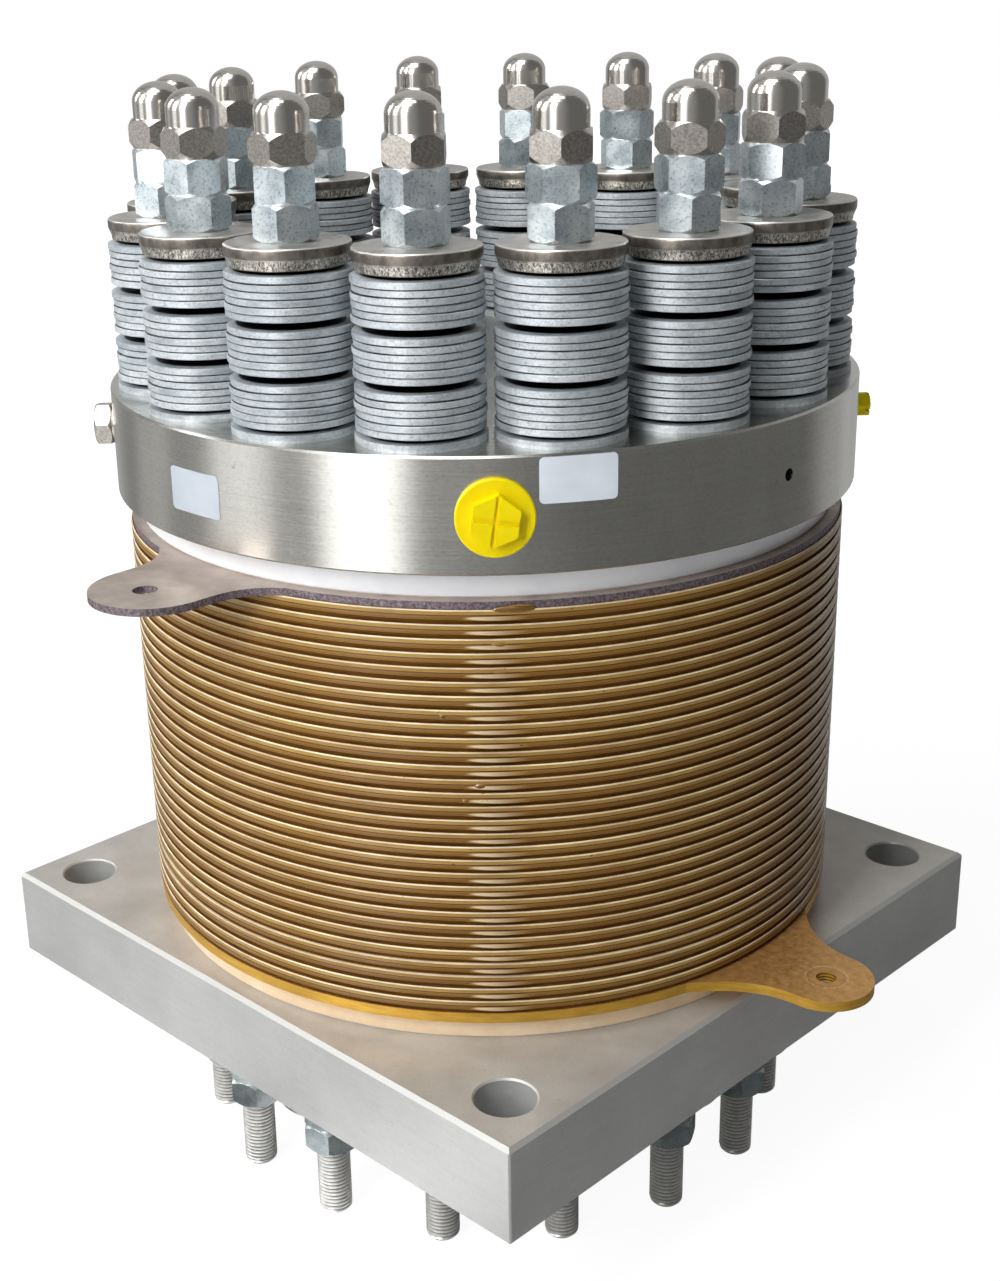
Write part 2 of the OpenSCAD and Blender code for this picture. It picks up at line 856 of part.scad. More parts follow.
base_plate();
lower_insulator();
positive_collector();
negative_collector();
upper_insulator();
end_plate();
separator_plates();
anode_layers();
membranes();
cathode_layers();
cell_seals();
rod_sleeves();
tie_rods();
base_thick_washers();
base_flat_washers();
base_nuts();
base_lock_nuts();
seat_washers();
disc_springs_lower();
disc_springs_middle();
disc_springs_upper();
thick_washers();
top_nuts();
top_lock_nuts();
cap_nuts();
inlet_plug();
outlet_plug();
vent_plug();
drain_plug();
for (i = [0 : cells - 1])
    cell_frame(i);
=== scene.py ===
"""Looks of the electrolyzer stack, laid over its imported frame.

Lengths are metres in the part's own frame: the origin is the centre of the base plate's
underside and +Z runs up the stack. Angles are degrees round the stack, from +X towards +Y.
"""

import json
import logging
import math
from dataclasses import dataclass, field
from enum import Enum
from typing import Sequence

import bmesh
import bpy
import numpy as np
from mathutils import Matrix, Vector


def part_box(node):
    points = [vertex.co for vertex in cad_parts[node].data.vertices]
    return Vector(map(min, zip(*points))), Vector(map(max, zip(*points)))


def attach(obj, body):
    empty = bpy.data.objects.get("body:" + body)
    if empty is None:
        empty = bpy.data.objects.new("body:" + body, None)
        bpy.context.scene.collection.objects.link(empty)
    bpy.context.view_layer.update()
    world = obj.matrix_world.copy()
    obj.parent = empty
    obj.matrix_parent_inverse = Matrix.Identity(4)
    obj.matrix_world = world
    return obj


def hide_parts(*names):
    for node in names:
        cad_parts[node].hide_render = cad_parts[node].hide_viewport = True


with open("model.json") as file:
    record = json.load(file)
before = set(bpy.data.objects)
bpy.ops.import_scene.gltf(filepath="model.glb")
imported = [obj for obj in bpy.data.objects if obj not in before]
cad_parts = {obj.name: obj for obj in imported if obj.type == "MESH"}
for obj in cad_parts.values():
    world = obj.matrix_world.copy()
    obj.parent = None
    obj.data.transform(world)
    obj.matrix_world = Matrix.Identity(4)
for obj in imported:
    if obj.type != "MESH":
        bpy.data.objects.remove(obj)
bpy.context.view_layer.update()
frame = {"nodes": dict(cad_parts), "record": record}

LOG = logging.getLogger("stack")
MM = 0.001
Colour = tuple[float, float, float, float]
Socket = bpy.types.NodeSocket


def srgb(red: int, green: int, blue: int) -> Colour:
    """Linear colour of a display colour.

    Args:
        red: Red from 0 to 255.
        green: Green from 0 to 255.
        blue: Blue from 0 to 255.

    Returns:
        Linear red, green, blue and 1. Each channel is ((c + 0.055) / 1.055) to the power 2.4.
    """
    channels = [
        c / 255 / 12.92 if c < 11 else ((c / 255 + 0.055) / 1.055) ** 2.4
        for c in (red, green, blue)
    ]
    return (channels[0], channels[1], channels[2], 1.0)


# Meshes


def weave(points: np.ndarray) -> tuple[np.ndarray, np.ndarray]:
    """Turns grids of points into vertices and quads.

    Args:
        points: Array of shape (copies, rows, columns, 3). With rows upwards and columns
            counter-clockwise seen from above, the faces point outwards.

    Returns:
        The vertices and the quads' vertex indices: each quad joins a point with its right
        neighbour and the two above them.
    """
    copies, rows, columns, _ = points.shape
    index = np.arange(copies * rows * columns).reshape(copies, rows, columns)
    quads = np.stack(
        [index[:, :-1, :-1], index[:, :-1, 1:], index[:, 1:, 1:], index[:, 1:, :-1]], axis=-1
    )
    return points.reshape(-1, 3), quads.reshape(-1, 4)


def piece(
    name: str, points: np.ndarray, smooth: float = 35.0, values: np.ndarray | None = None
) -> bpy.types.Object:
    """Makes a closed mesh object from grids of points.

    Args:
        name: Name of the object.
        points: Array of shape (copies, rows, columns, 3), as for weave.
        smooth: Edges that turn by more than this many degrees stay sharp.
        values: One number per point, kept as the attribute "depth".

    Returns:
        The object, linked to the scene, with its seams and poles merged.
    """
    vertices, quads = weave(points)
    mesh = bpy.data.meshes.new(name)
    mesh.vertices.add(len(vertices))
    mesh.vertices.foreach_set("co", vertices.astype(np.float32).ravel())
    mesh.loops.add(quads.size)
    mesh.loops.foreach_set("vertex_index", quads.astype(np.int32).ravel())
    mesh.polygons.add(len(quads))
    mesh.polygons.foreach_set("loop_start", np.arange(0, quads.size, 4, dtype=np.int32))
    mesh.update(calc_edges=True)
    if values is not None:
        layer = mesh.attributes.new("depth", "FLOAT", "POINT")
        layer.data.foreach_set("value", values.astype(np.float32).ravel())
    work = bmesh.new()
    work.from_mesh(mesh)
    bmesh.ops.remove_doubles(work, verts=work.verts, dist=2e-6)
    bmesh.ops.dissolve_degenerate(work, edges=work.edges, dist=1e-6)
    limit = math.radians(smooth)
    for face in work.faces:
        face.smooth = True
    for edge in work.edges:
        edge.smooth = len(edge.link_faces) == 2 and edge.calc_face_angle(0.0) < limit
    work.to_mesh(mesh)
    work.free()
    made = bpy.data.objects.new(name, mesh)
    bpy.context.scene.collection.objects.link(made)
    return made


def dress(target: bpy.types.Object, material: bpy.types.Material) -> None:
    """Gives an object one material in place of those it has."""
    target.data.materials.clear()
    target.data.materials.append(material)


def ragged(seed: int, shape: tuple[int, int, int], passes: int) -> np.ndarray:
    """Seeded random heights from 0 to 1 over grids, smoothed round their columns.

    Args:
        seed: Seed of the random numbers.
        shape: Copies, rows and columns. The last column repeats the first.
        passes: How often each value is averaged with its neighbours in the row.

    Returns:
        Array of that shape.
    """
    noise = np.random.default_rng(seed).random((shape[0], shape[1], shape[2] - 1))
    for _ in range(passes):
        noise = (noise + np.roll(noise, 1, axis=2) + np.roll(noise, -1, axis=2)) / 3
    noise = (noise - noise.min()) / (noise.max() - noise.min())
    return np.concatenate([noise, noise[:, :, :1]], axis=2)


# Material graph


class Grain(Enum):
    """Waves per metre along x, y and z, for patterns that are stretched or pressed one way."""

    ALONG_PLATE = (55.0, 55.0, 2600.0)
    LATHE_CLOUDS = (16.0, 16.0, 5.0)
    STEEL_SPECKS = (520.0, 520.0, 900.0)
    RESIN_SPECKS = (260.0, 260.0, 620.0)
    RESIN_SKIN = (60.0, 60.0, 2400.0)
    GILT_EDGE = (90.0, 90.0, 700.0)
    DISC_SIDES = (320.0, 320.0, 900.0)
    PUNCHED_BAND = (240.0, 240.0, 160.0)
    TORN_METAL = (1150.0, 1150.0, 520.0)
    FILM_SCUFFS = (90.0, 90.0, 900.0)


class Blend(Enum):
    """Ways to mix two colours."""

    MIX = "MIX"
    MULTIPLY = "MULTIPLY"


class Nodes:
    """A node tree, with short methods for its nodes and their sums."""

    def __init__(self, tree: bpy.types.NodeTree) -> None:
        """Keeps the tree."""
        self.tree = tree

    def add(self, kind: str) -> bpy.types.Node:
        """Adds a node of that kind."""
        return self.tree.nodes.new(kind)

    def join(self, source: Socket, target: Socket) -> None:
        """Links one socket to another."""
        self.tree.links.new(source, target)

    def feed(self, target: Socket, value: Socket | float | tuple[float, ...]) -> None:
        """Links a socket or sets a constant on it."""
        if isinstance(value, bpy.types.NodeSocket):
            self.join(value, target)
        else:
            target.default_value = value

    def math(self, kind: str, first: Socket | float, second: Socket | float = 0.0) -> Socket:
        """One sum of two values, by Blender's name of the operation."""
        node = self.add("ShaderNodeMath")
        node.operation = kind
        self.feed(node.inputs[0], first)
        self.feed(node.inputs[1], second)
        return node.outputs[0]

    def plus(self, first: Socket | float, second: Socket | float) -> Socket:
        """First plus second."""
        return self.math("ADD", first, second)

    def minus(self, first: Socket | float, second: Socket | float) -> Socket:
        """First less second."""
        return self.math("SUBTRACT", first, second)

    def times(self, first: Socket | float, second: Socket | float) -> Socket:
        """First times second."""
        return self.math("MULTIPLY", first, second)

    def over(self, first: Socket | float, second: Socket | float) -> Socket:
        """First divided by second."""
        return self.math("DIVIDE", first, second)

    def squares(self, first: Socket, second: Socket) -> Socket:
        """The square of the first plus the square of the second."""
        return self.plus(self.times(first, first), self.times(second, second))

    def length(self, first: Socket, second: Socket) -> Socket:
        """The root of the sum of the two values' squares."""
        return self.math("SQRT", self.squares(first, second))

    def span(
        self, value: Socket, low: float, high: float, start: float = 0.0, end: float = 1.0
    ) -> Socket:
        """A value that runs from start to end, smoothly, as another runs from low to high."""
        node = self.add("ShaderNodeMapRange")
        node.interpolation_type = "SMOOTHSTEP"
        self.join(value, node.inputs["Value"])
        limits = {"From Min": low, "From Max": high, "To Min": start, "To Max": end}
        for name, number in limits.items():
            node.inputs[name].default_value = number
        return node.outputs["Result"]

    def window(
        self, value: Socket, rise: tuple[float, float], fall: tuple[float, float], top: float = 1.0
    ) -> Socket:
        """A mask that rises from 0 to its top over one span of a value and falls over another."""
        return self.times(self.span(value, *rise), self.span(value, *fall, top, 0.0))

    def vector(
        self, kind: str, first: Socket, second: tuple[float, float, float] = (0.0, 0.0, 0.0)
    ) -> Socket:
        """One sum of two vectors, by Blender's name. DOT_PRODUCT and LENGTH give a number."""
        node = self.add("ShaderNodeVectorMath")
        node.operation = kind
        self.feed(node.inputs[0], first)
        self.feed(node.inputs[1], second)
        return node.outputs["Value" if kind in ("DOT_PRODUCT", "LENGTH") else "Vector"]

    def blend(self, share: Socket, first: Socket, second: Socket) -> Socket:
        """Two shaders mixed by a share."""
        node = self.add("ShaderNodeMixShader")
        for target, source in zip(node.inputs, (share, first, second)):
            self.join(source, target)
        return node.outputs[0]


class Graph(Nodes):
    """A material's node tree, with short methods for what the finishes share."""

    def __init__(self, name: str) -> None:
        """Makes the material with its principled shader."""
        self.material = bpy.data.materials.new(name)
        self.material.use_nodes = True
        super().__init__(self.material.node_tree)
        self.shader = self.tree.nodes["Principled BSDF"]
        self.point = self.add("ShaderNodeTexCoord").outputs["Object"]

    def constants(self, **values: float | tuple[float, float, float]) -> None:
        """Sets numbers on the shader's own sockets. An underscore in a name is a space."""
        for key, value in values.items():
            self.shader.inputs[key.replace("_", " ")].default_value = value

    def drive(self, name: str, value: Socket) -> None:
        """Links a value to one of the shader's own sockets."""
        self.join(value, self.shader.inputs[name])

    def axes(self, vector: Socket | None = None) -> tuple[Socket, Socket, Socket]:
        """The three parts of a vector, or of the object's own point."""
        node = self.add("ShaderNodeSeparateXYZ")
        self.join(vector or self.point, node.inputs[0])
        return node.outputs[0], node.outputs[1], node.outputs[2]

    def scaled(self, *parts: tuple[Socket, float]) -> Socket:
        """A vector of three values, each times its own factor."""
        node = self.add("ShaderNodeCombineXYZ")
        for target, (value, factor) in zip(node.inputs, parts):
            self.join(self.times(value, factor), target)
        return node.outputs[0]

    def depth(self) -> Socket:
        """The mesh's own attribute "depth"."""
        node = self.add("ShaderNodeAttribute")
        node.attribute_name = "depth"
        return node.outputs["Fac"]

    def noise(
        self,
        scale: float | Grain,
        detail: float = 3.0,
        rough: float = 0.55,
        vector: Socket | None = None,
        warp: float = 0.0,
    ) -> Socket:
        """Noise from 0 to 1 at the object's own point.

        Args:
            scale: Waves per metre, or a grain with its own for each axis.
            detail: Octaves.
            rough: Weight of each finer octave.
            vector: Another point than the object's.
            warp: How much the pattern is bent.

        Returns:
            The noise's socket.
        """
        spread = self.add("ShaderNodeMapping")
        spread.vector_type = "POINT"
        waves = scale.value if isinstance(scale, Grain) else (scale, scale, scale)
        spread.inputs["Scale"].default_value = waves
        self.join(vector or self.point, spread.inputs["Vector"])
        node = self.add("ShaderNodeTexNoise")
        settings = {"Scale": 1.0, "Detail": detail, "Roughness": rough, "Distortion": warp}
        for name, number in settings.items():
            node.inputs[name].default_value = number
        self.join(spread.outputs[0], node.inputs["Vector"])
        return node.outputs[0]

    def mix(
        self,
        share: Socket | float,
        first: Socket | Colour,
        second: Socket | Colour,
        blend: Blend = Blend.MIX,
    ) -> Socket:
        """Two colours mixed by a share."""
        node = self.add("ShaderNodeMix")
        node.data_type = "RGBA"
        node.blend_type = blend.value
        self.feed(node.inputs[0], share)
        self.feed(node.inputs[6], first)
        self.feed(node.inputs[7], second)
        return node.outputs[2]

    def ramp(self, value: Socket, stops: Sequence[tuple[float, Colour]]) -> Socket:
        """Colours at places along a value from 0 to 1."""
        node = self.add("ShaderNodeValToRGB")
        band = node.color_ramp
        band.elements[0].position, band.elements[0].color = stops[0]
        band.elements[1].position, band.elements[1].color = stops[-1]
        for place, colour in stops[1:-1]:
            band.elements.new(place).color = colour
        self.join(value, node.inputs[0])
        return node.outputs[0]

    def polar(self) -> tuple[Socket, Socket, Socket]:
        """Distance from the stack's axis, angle round it in radians, and height."""
        x, y, z = self.axes()
        return self.length(x, y), self.math("ARCTAN2", y, x), z

    def from_rod(self, ring: float, first: float, step: float) -> Socket:
        """Distance from the axis of the nearest of the rods that stand in a ring.

        The angle a round the stack is folded to b = (a - first + step / 2) mod step - step / 2,
        so the nearest rod stands at the ring's radius on the folded x axis.

        Args:
            ring: Radius of the ring in metres.
            first: Angle of a rod in radians.
            step: Angle from rod to rod in radians.

        Returns:
            The distance's socket.
        """
        radius, angle, _ = self.polar()
        shifted = self.plus(angle, step / 2 - first + 4 * math.pi)
        folded = self.minus(self.math("FLOORED_MODULO", shifted, step), step / 2)
        x = self.minus(self.times(radius, self.math("COSINE", folded)), ring)
        return self.length(x, self.times(radius, self.math("SINE", folded)))

    def facing(self) -> Socket:
        """How far the surface faces up or down: 0 on upright walls, 1 on flat ones."""
        node = self.add("ShaderNodeNewGeometry")
        return self.math("ABSOLUTE", self.axes(node.outputs["Normal"])[2])

    def colour(self, value: Socket) -> None:
        """Links the base colour."""
        self.drive("Base Color", value)

    def roughness(self, value: Socket, low: float, high: float) -> None:
        """Roughness that runs from low to high with a value from 0 to 1."""
        self.drive("Roughness", self.span(value, 0.25, 0.75, low, high))

    def bump(self, height: Socket, distance: float, strength: float) -> None:
        """Relief of the surface, in metres for a height of 1."""
        node = self.add("ShaderNodeBump")
        node.inputs["Strength"].default_value = strength
        node.inputs["Distance"].default_value = distance
        self.join(height, node.inputs["Height"])
        self.drive("Normal", node.outputs[0])


# Finishes


@dataclass(frozen=True)
class PlateMetal:
    """Milled and brushed plate: fine lines along its sides, cloudy top, and chamfers with a painted
    highlight.
    """

    name: str = "brushed_aluminium"
    light: Colour = srgb(194, 195, 193)
    dark: Colour = srgb(170, 170, 168)
    top: Colour = srgb(209, 206, 200)
    top_dark: Colour = srgb(185, 181, 174)
    # Chamfer colour: a painted highlight.
    edge: Colour = srgb(196, 196, 193)
    pit: Colour = srgb(112, 108, 102)
    metallic: float = 0.3

    def material(self) -> bpy.types.Material:
        """Makes the material: lines of noise stretched along the plate, mixed with clouds."""
        graph = Graph(self.name)
        lines = graph.noise(Grain.ALONG_PLATE, 4.0, 0.65)
        clouds = graph.noise(30.0, 4.0, 0.6)
        fine = graph.noise(900.0, 3.0, 0.7)
        tone = graph.plus(graph.times(lines, 0.5), graph.times(clouds, 0.5))
        facing = graph.facing()
        base = graph.mix(
            graph.span(facing, 0.8, 0.95),
            graph.ramp(tone, [(0.3, self.dark), (0.7, self.light)]),
            graph.ramp(clouds, [(0.3, self.top_dark), (0.7, self.top)]),
        )
        base = graph.mix(graph.span(fine, 0.55, 0.74, 0.0, 0.3), base, self.pit)
        # Pale chamfers: a painted highlight.
        chamfer_highlight = graph.window(facing, (0.3, 0.45), (0.9, 0.97))
        graph.colour(graph.mix(chamfer_highlight, base, self.edge))
        graph.constants(Metallic=self.metallic)
        graph.roughness(tone, 0.34, 0.52)
        graph.bump(lines, 0.00006, 0.5)
        return graph.material


@dataclass(frozen=True)
class TurnedSteel:
    """Stainless plate turned in a lathe: fine rings round the rim and on the face."""

    name: str = "turned_stainless"
    light: Colour = srgb(216, 215, 210)
    dark: Colour = srgb(186, 185, 178)
    stain: Colour = srgb(140, 136, 126)

    def material(self) -> bpy.types.Material:
        """Makes the material: noise read at the point's radius and height makes the rings."""
        graph = Graph(self.name)
        radius, angle, z = graph.polar()
        rings = graph.scaled((radius, 2100.0), (angle, 3.0), (z, 2300.0))
        lines = graph.noise(1.0, 3.0, 0.6, rings)
        clouds = graph.noise(Grain.LATHE_CLOUDS, 3.0, 0.6)
        tone = graph.plus(graph.times(lines, 0.3), graph.times(clouds, 0.7))
        base = graph.ramp(tone, [(0.32, self.dark), (0.68, self.light)])
        specks = graph.span(graph.noise(Grain.STEEL_SPECKS, 4.0, 0.8), 0.44, 0.74, 0.0, 0.28)
        base = graph.mix(specks, base, self.stain)
        spots = graph.span(graph.noise(210.0, 4.0, 0.7), 0.64, 0.78, 0.0, 0.5)
        graph.colour(graph.mix(spots, base, self.stain))
        graph.constants(Metallic=1.0, Anisotropic=0.6, Anisotropic_Rotation=0.25)
        tangent = graph.add("ShaderNodeTangent")
        tangent.direction_type = "RADIAL"
        tangent.axis = "Z"
        graph.drive("Tangent", tangent.outputs[0])
        graph.roughness(tone, 0.2, 0.3)
        graph.bump(lines, 0.00004, 0.4)
        return graph.material


@dataclass(frozen=True)
class MouldedPlastic:
    """Moulded or cast plastic with faint clouds, a fine satin skin and a painted highlight on its
    chamfers.
    """

    name: str
    light: Colour
    dark: Colour
    # Chamfer colour: a painted highlight.
    edge: Colour
    rough: tuple[float, float] = (0.32, 0.46)
    coat: float = 0.0
    glow: float = 0.0
    sheen: float = 0.5

    def material(self) -> bpy.types.Material:
        """Makes the material: slow clouds in the colour, fine grain in the relief."""
        graph = Graph(self.name)
        clouds = graph.noise(55.0, 4.0, 0.6, warp=0.4)
        fine = graph.noise(1300.0, 3.0)
        base = graph.ramp(clouds, [(0.3, self.dark), (0.68, self.light)])
        facing = graph.facing()
        # Paler chamfers: a painted highlight.
        chamfer_highlight = graph.window(facing, (0.25, 0.4), (0.9, 0.98), 0.8)
        base = graph.mix(chamfer_highlight, base, self.edge)
        specks = graph.span(graph.noise(420.0, 2.0), 0.7, 0.78, 0.0, 0.5)
        graph.colour(graph.mix(specks, base, self.dark))
        graph.constants(Coat_Weight=self.coat, Coat_Roughness=0.12, Specular_IOR_Level=self.sheen)
        graph.constants(Subsurface_Weight=self.glow, Subsurface_Scale=0.5)
        graph.constants(Subsurface_Radius=(0.004, 0.0025, 0.001))
        graph.roughness(fine, *self.rough)
        graph.bump(fine, 0.00002, 0.5)
        return graph.material


@dataclass(frozen=True)
class AmberResin:
    """Amber cell frames: two-tone rim with a faint groove, brown neck, painted highlights on the
    pale upper edge and the lower edge, and painted shade in the groove.
    """

    bottom: float
    pitch: float
    name: str = "amber_resin"
    pad_angle: float = -45.0
    pad_half: float = 4.9
    pad_middle: float = 0.46
    pad_rise: float = 0.15
    neck: Colour = srgb(124, 82, 34)
    # Lower edge colour: a painted highlight.
    lip_highlight: Colour = srgb(186, 144, 76)
    lower: Colour = srgb(128, 92, 36)
    middle: Colour = srgb(152, 114, 52)
    # Dark band in the groove: painted shade.
    groove_shade: Colour = srgb(78, 50, 16)
    upper: Colour = srgb(184, 148, 78)
    # Cream upper edge: a painted highlight.
    crown_highlight: Colour = srgb(255, 242, 208)
    # Pad colour: a painted highlight.
    pale: Colour = srgb(238, 220, 184)
    shade: Colour = srgb(168, 122, 58)
    stain: Colour = srgb(118, 78, 22)
    speck_and_edge_highlight: Colour = srgb(60, 34, 10)

    def material(self) -> bpy.types.Material:
        """Makes the material: a ramp over each cell's height, shifted a little per layer."""
        graph = Graph(self.name)
        _, angle, z = graph.polar()
        level = graph.over(graph.minus(z, self.bottom), self.pitch)
        phase = graph.math("FRACT", level)
        # Height ramp: the pale lower and upper edges are painted highlights, and the dark groove
        # band is painted shade.
        base = graph.ramp(
            phase,
            [
                (0.0, self.neck),
                (0.335, self.neck),
                (0.35, self.lip_highlight),
                (0.385, self.lower),
                (0.595, self.middle),
                (0.61, self.groove_shade),
                (0.65, self.groove_shade),
                (0.67, self.upper),
                (0.9, self.upper),
                (0.93, self.crown_highlight),
                (1.0, self.crown_highlight),
            ],
        )
        layer = graph.add("ShaderNodeTexWhiteNoise")
        layer.noise_dimensions = "1D"
        graph.join(graph.math("FLOOR", level), layer.inputs["W"])
        darker = graph.span(layer.outputs["Value"], 0.0, 1.0, 0.0, 0.32)
        base = graph.mix(darker, base, self.shade, Blend.MULTIPLY)
        along = graph.scaled((angle, 9.0), (graph.math("FLOOR", level), 3.7), (phase, 1.5))
        drift = graph.noise(1.0, 4.0, 0.65, along)
        base = graph.mix(graph.span(drift, 0.35, 0.7, 0.0, 0.35), base, self.stain)
        # Pale moulding pads, brightest at their end at -X: a painted highlight.
        base = graph.mix(graph.times(self.pad(graph, angle, phase), 0.7), base, self.pale)
        specks = graph.span(graph.noise(Grain.RESIN_SPECKS, 3.0, 0.6), 0.7, 0.76, 0.0, 0.75)
        graph.colour(graph.mix(specks, base, self.speck_and_edge_highlight))
        rim = graph.span(phase, 0.33, 0.36)
        graph.drive("Coat Weight", graph.times(rim, 0.2))
        graph.drive("Specular IOR Level", graph.span(rim, 0.0, 1.0, 0.0, 0.3))
        graph.constants(Coat_Roughness=0.18, Subsurface_Weight=0.06, Subsurface_Scale=0.3)
        graph.constants(Subsurface_Radius=(0.004, 0.002, 0.0006))
        graph.roughness(drift, 0.3, 0.46)
        graph.bump(graph.noise(Grain.RESIN_SKIN, 3.0), 0.00003, 0.4)
        return graph.material

    def pad(self, graph: Graph, angle: Socket, phase: Socket) -> Socket:
        """Makes the mask of the painted highlight on the moulding pads.

        Args:
            graph: The material's graph.
            angle: Angle round the stack in radians.
            phase: Height within a cell, from 0 to 1.

        Returns:
            1 less the squares of the angle and height from the pad's middle, each as a share
            of the pad's half size, kept above 0, and stronger towards the pad's end at -X.
        """
        middle, half = math.radians(self.pad_angle), math.radians(self.pad_half)
        aside = graph.over(graph.minus(angle, middle), half)
        rise = graph.over(graph.minus(phase, self.pad_middle), self.pad_rise)
        oval = graph.minus(1.0, graph.squares(aside, rise))
        return graph.times(graph.span(oval, 0.05, 0.6), graph.span(aside, -0.7, 0.8, 1.0, 0.15))


@dataclass(frozen=True)
class GiltPlate:
    """Thick collector: gold edge, copper-brown faces, and the mark of a washer by the hole."""

    hole: float
    name: str = "gilt_copper"
    edge: Colour = srgb(218, 172, 70)
    edge_dark: Colour = srgb(196, 148, 54)
    face: Colour = srgb(230, 180, 112)
    face_dark: Colour = srgb(186, 136, 74)
    mark: Colour = srgb(238, 214, 180)
    # Thread roots in the hole: painted shade.
    root: Colour = srgb(82, 56, 22)
    thread: float = 1.5 * MM

    def material(self) -> bpy.types.Material:
        """Makes the material. The mark is a ring at set distances from the hole's axis."""
        graph = Graph(self.name)
        x, y, z = graph.axes()
        facing = graph.span(graph.facing(), 0.5, 0.8)
        mottle = graph.noise(260.0, 6.0, 0.7, warp=0.3)
        streaks = graph.noise(Grain.GILT_EDGE, 4.0)
        side = graph.ramp(streaks, [(0.3, self.edge_dark), (0.66, self.edge)])
        # Painted shade in the roots of a thread drawn in the hole.
        turns = graph.math("SINE", graph.times(z, 2 * math.pi / self.thread))
        top = graph.ramp(mottle, [(0.3, self.face_dark), (0.7, self.face)])
        reach = graph.length(graph.minus(x, self.hole), y)
        in_hole = graph.span(reach, 6.0 * MM, 6.5 * MM, 0.85, 0.0)
        side = graph.mix(graph.times(graph.span(turns, -0.2, 0.5), in_hole), side, self.root)
        outer = graph.window(reach, (8.6 * MM, 9.1 * MM), (9.4 * MM, 10.1 * MM))
        inner = graph.window(reach, (7.4 * MM, 7.9 * MM), (8.1 * MM, 8.6 * MM))
        worn = graph.times(outer, graph.span(graph.noise(620.0, 3.0, 0.7), 0.42, 0.6))
        top = graph.mix(graph.times(worn, 0.7), top, self.mark)
        top = graph.mix(graph.times(inner, 0.55), top, self.face_dark)
        dust = graph.span(graph.noise(900.0, 3.0, 0.7), 0.66, 0.76, 0.0, 0.6)
        top = graph.mix(dust, top, self.mark)
        graph.colour(graph.mix(facing, side, top))
        graph.constants(Metallic=0.55)
        graph.roughness(mottle, 0.3, 0.48)
        graph.bump(mottle, 0.00004, 0.5)
        return graph.material


@dataclass(frozen=True)
class CutPlate:
    """Thin collector: satin faces and a dark rim, rough from cutting."""

    name: str = "cut_titanium"
    face: Colour = srgb(202, 187, 177)
    face_dark: Colour = srgb(166, 152, 143)
    rim: Colour = srgb(92, 78, 84)
    rim_light: Colour = srgb(150, 138, 142)

    def material(self) -> bpy.types.Material:
        """Makes the material: a fine sandy rim, soft clouds on the faces."""
        graph = Graph(self.name)
        facing = graph.span(graph.facing(), 0.5, 0.8)
        sand = graph.noise(850.0, 3.0, 0.7)
        clouds = graph.noise(60.0, 4.0, 0.6)
        side = graph.ramp(sand, [(0.4, self.rim), (0.66, self.rim_light)])
        top = graph.ramp(clouds, [(0.3, self.face_dark), (0.68, self.face)])
        graph.colour(graph.mix(facing, side, top))
        graph.constants(Metallic=0.5)
        graph.drive("Roughness", graph.span(facing, 0.0, 1.0, 0.6, 0.36))
        graph.bump(sand, 0.00008, 0.6)
        return graph.material


@dataclass(frozen=True)
class ZincCoat:
    """Zinc-plated or bare steel: mottled crystals, specks, and chamfers painted pale as a
    highlight.
    """

    name: str
    light: Colour
    dark: Colour
    # Chamfer colour: a painted highlight.
    speck_and_edge_highlight: Colour
    metallic: float = 0.6
    rough: tuple[float, float] = (0.32, 0.5)
    scale: float = 260.0
    relief: float = 0.00002
    grain: float = 0.55
    pit: Colour = srgb(98, 110, 114)

    def material(self) -> bpy.types.Material:
        """Makes the material: slow clouds, fine specks and a painted highlight on the chamfers."""
        graph = Graph(self.name)
        clouds = graph.noise(self.scale * 0.4, 2.0, 0.5)
        base = graph.ramp(clouds, [(0.3, self.dark), (0.7, self.light)])
        fine = graph.noise(self.scale * 3.2, 4.0, 0.8)
        base = graph.mix(graph.span(fine, 0.5, 0.64, 0.0, self.grain), base, self.pit)
        facing = graph.facing()
        # Pale chamfers: a painted highlight.
        edges = graph.window(facing, (0.2, 0.4), (0.85, 0.95), 0.6)
        graph.colour(graph.mix(edges, base, self.speck_and_edge_highlight))
        graph.constants(Metallic=self.metallic)
        graph.roughness(clouds, *self.rough)
        graph.bump(fine, self.relief, 0.6)
        return graph.material


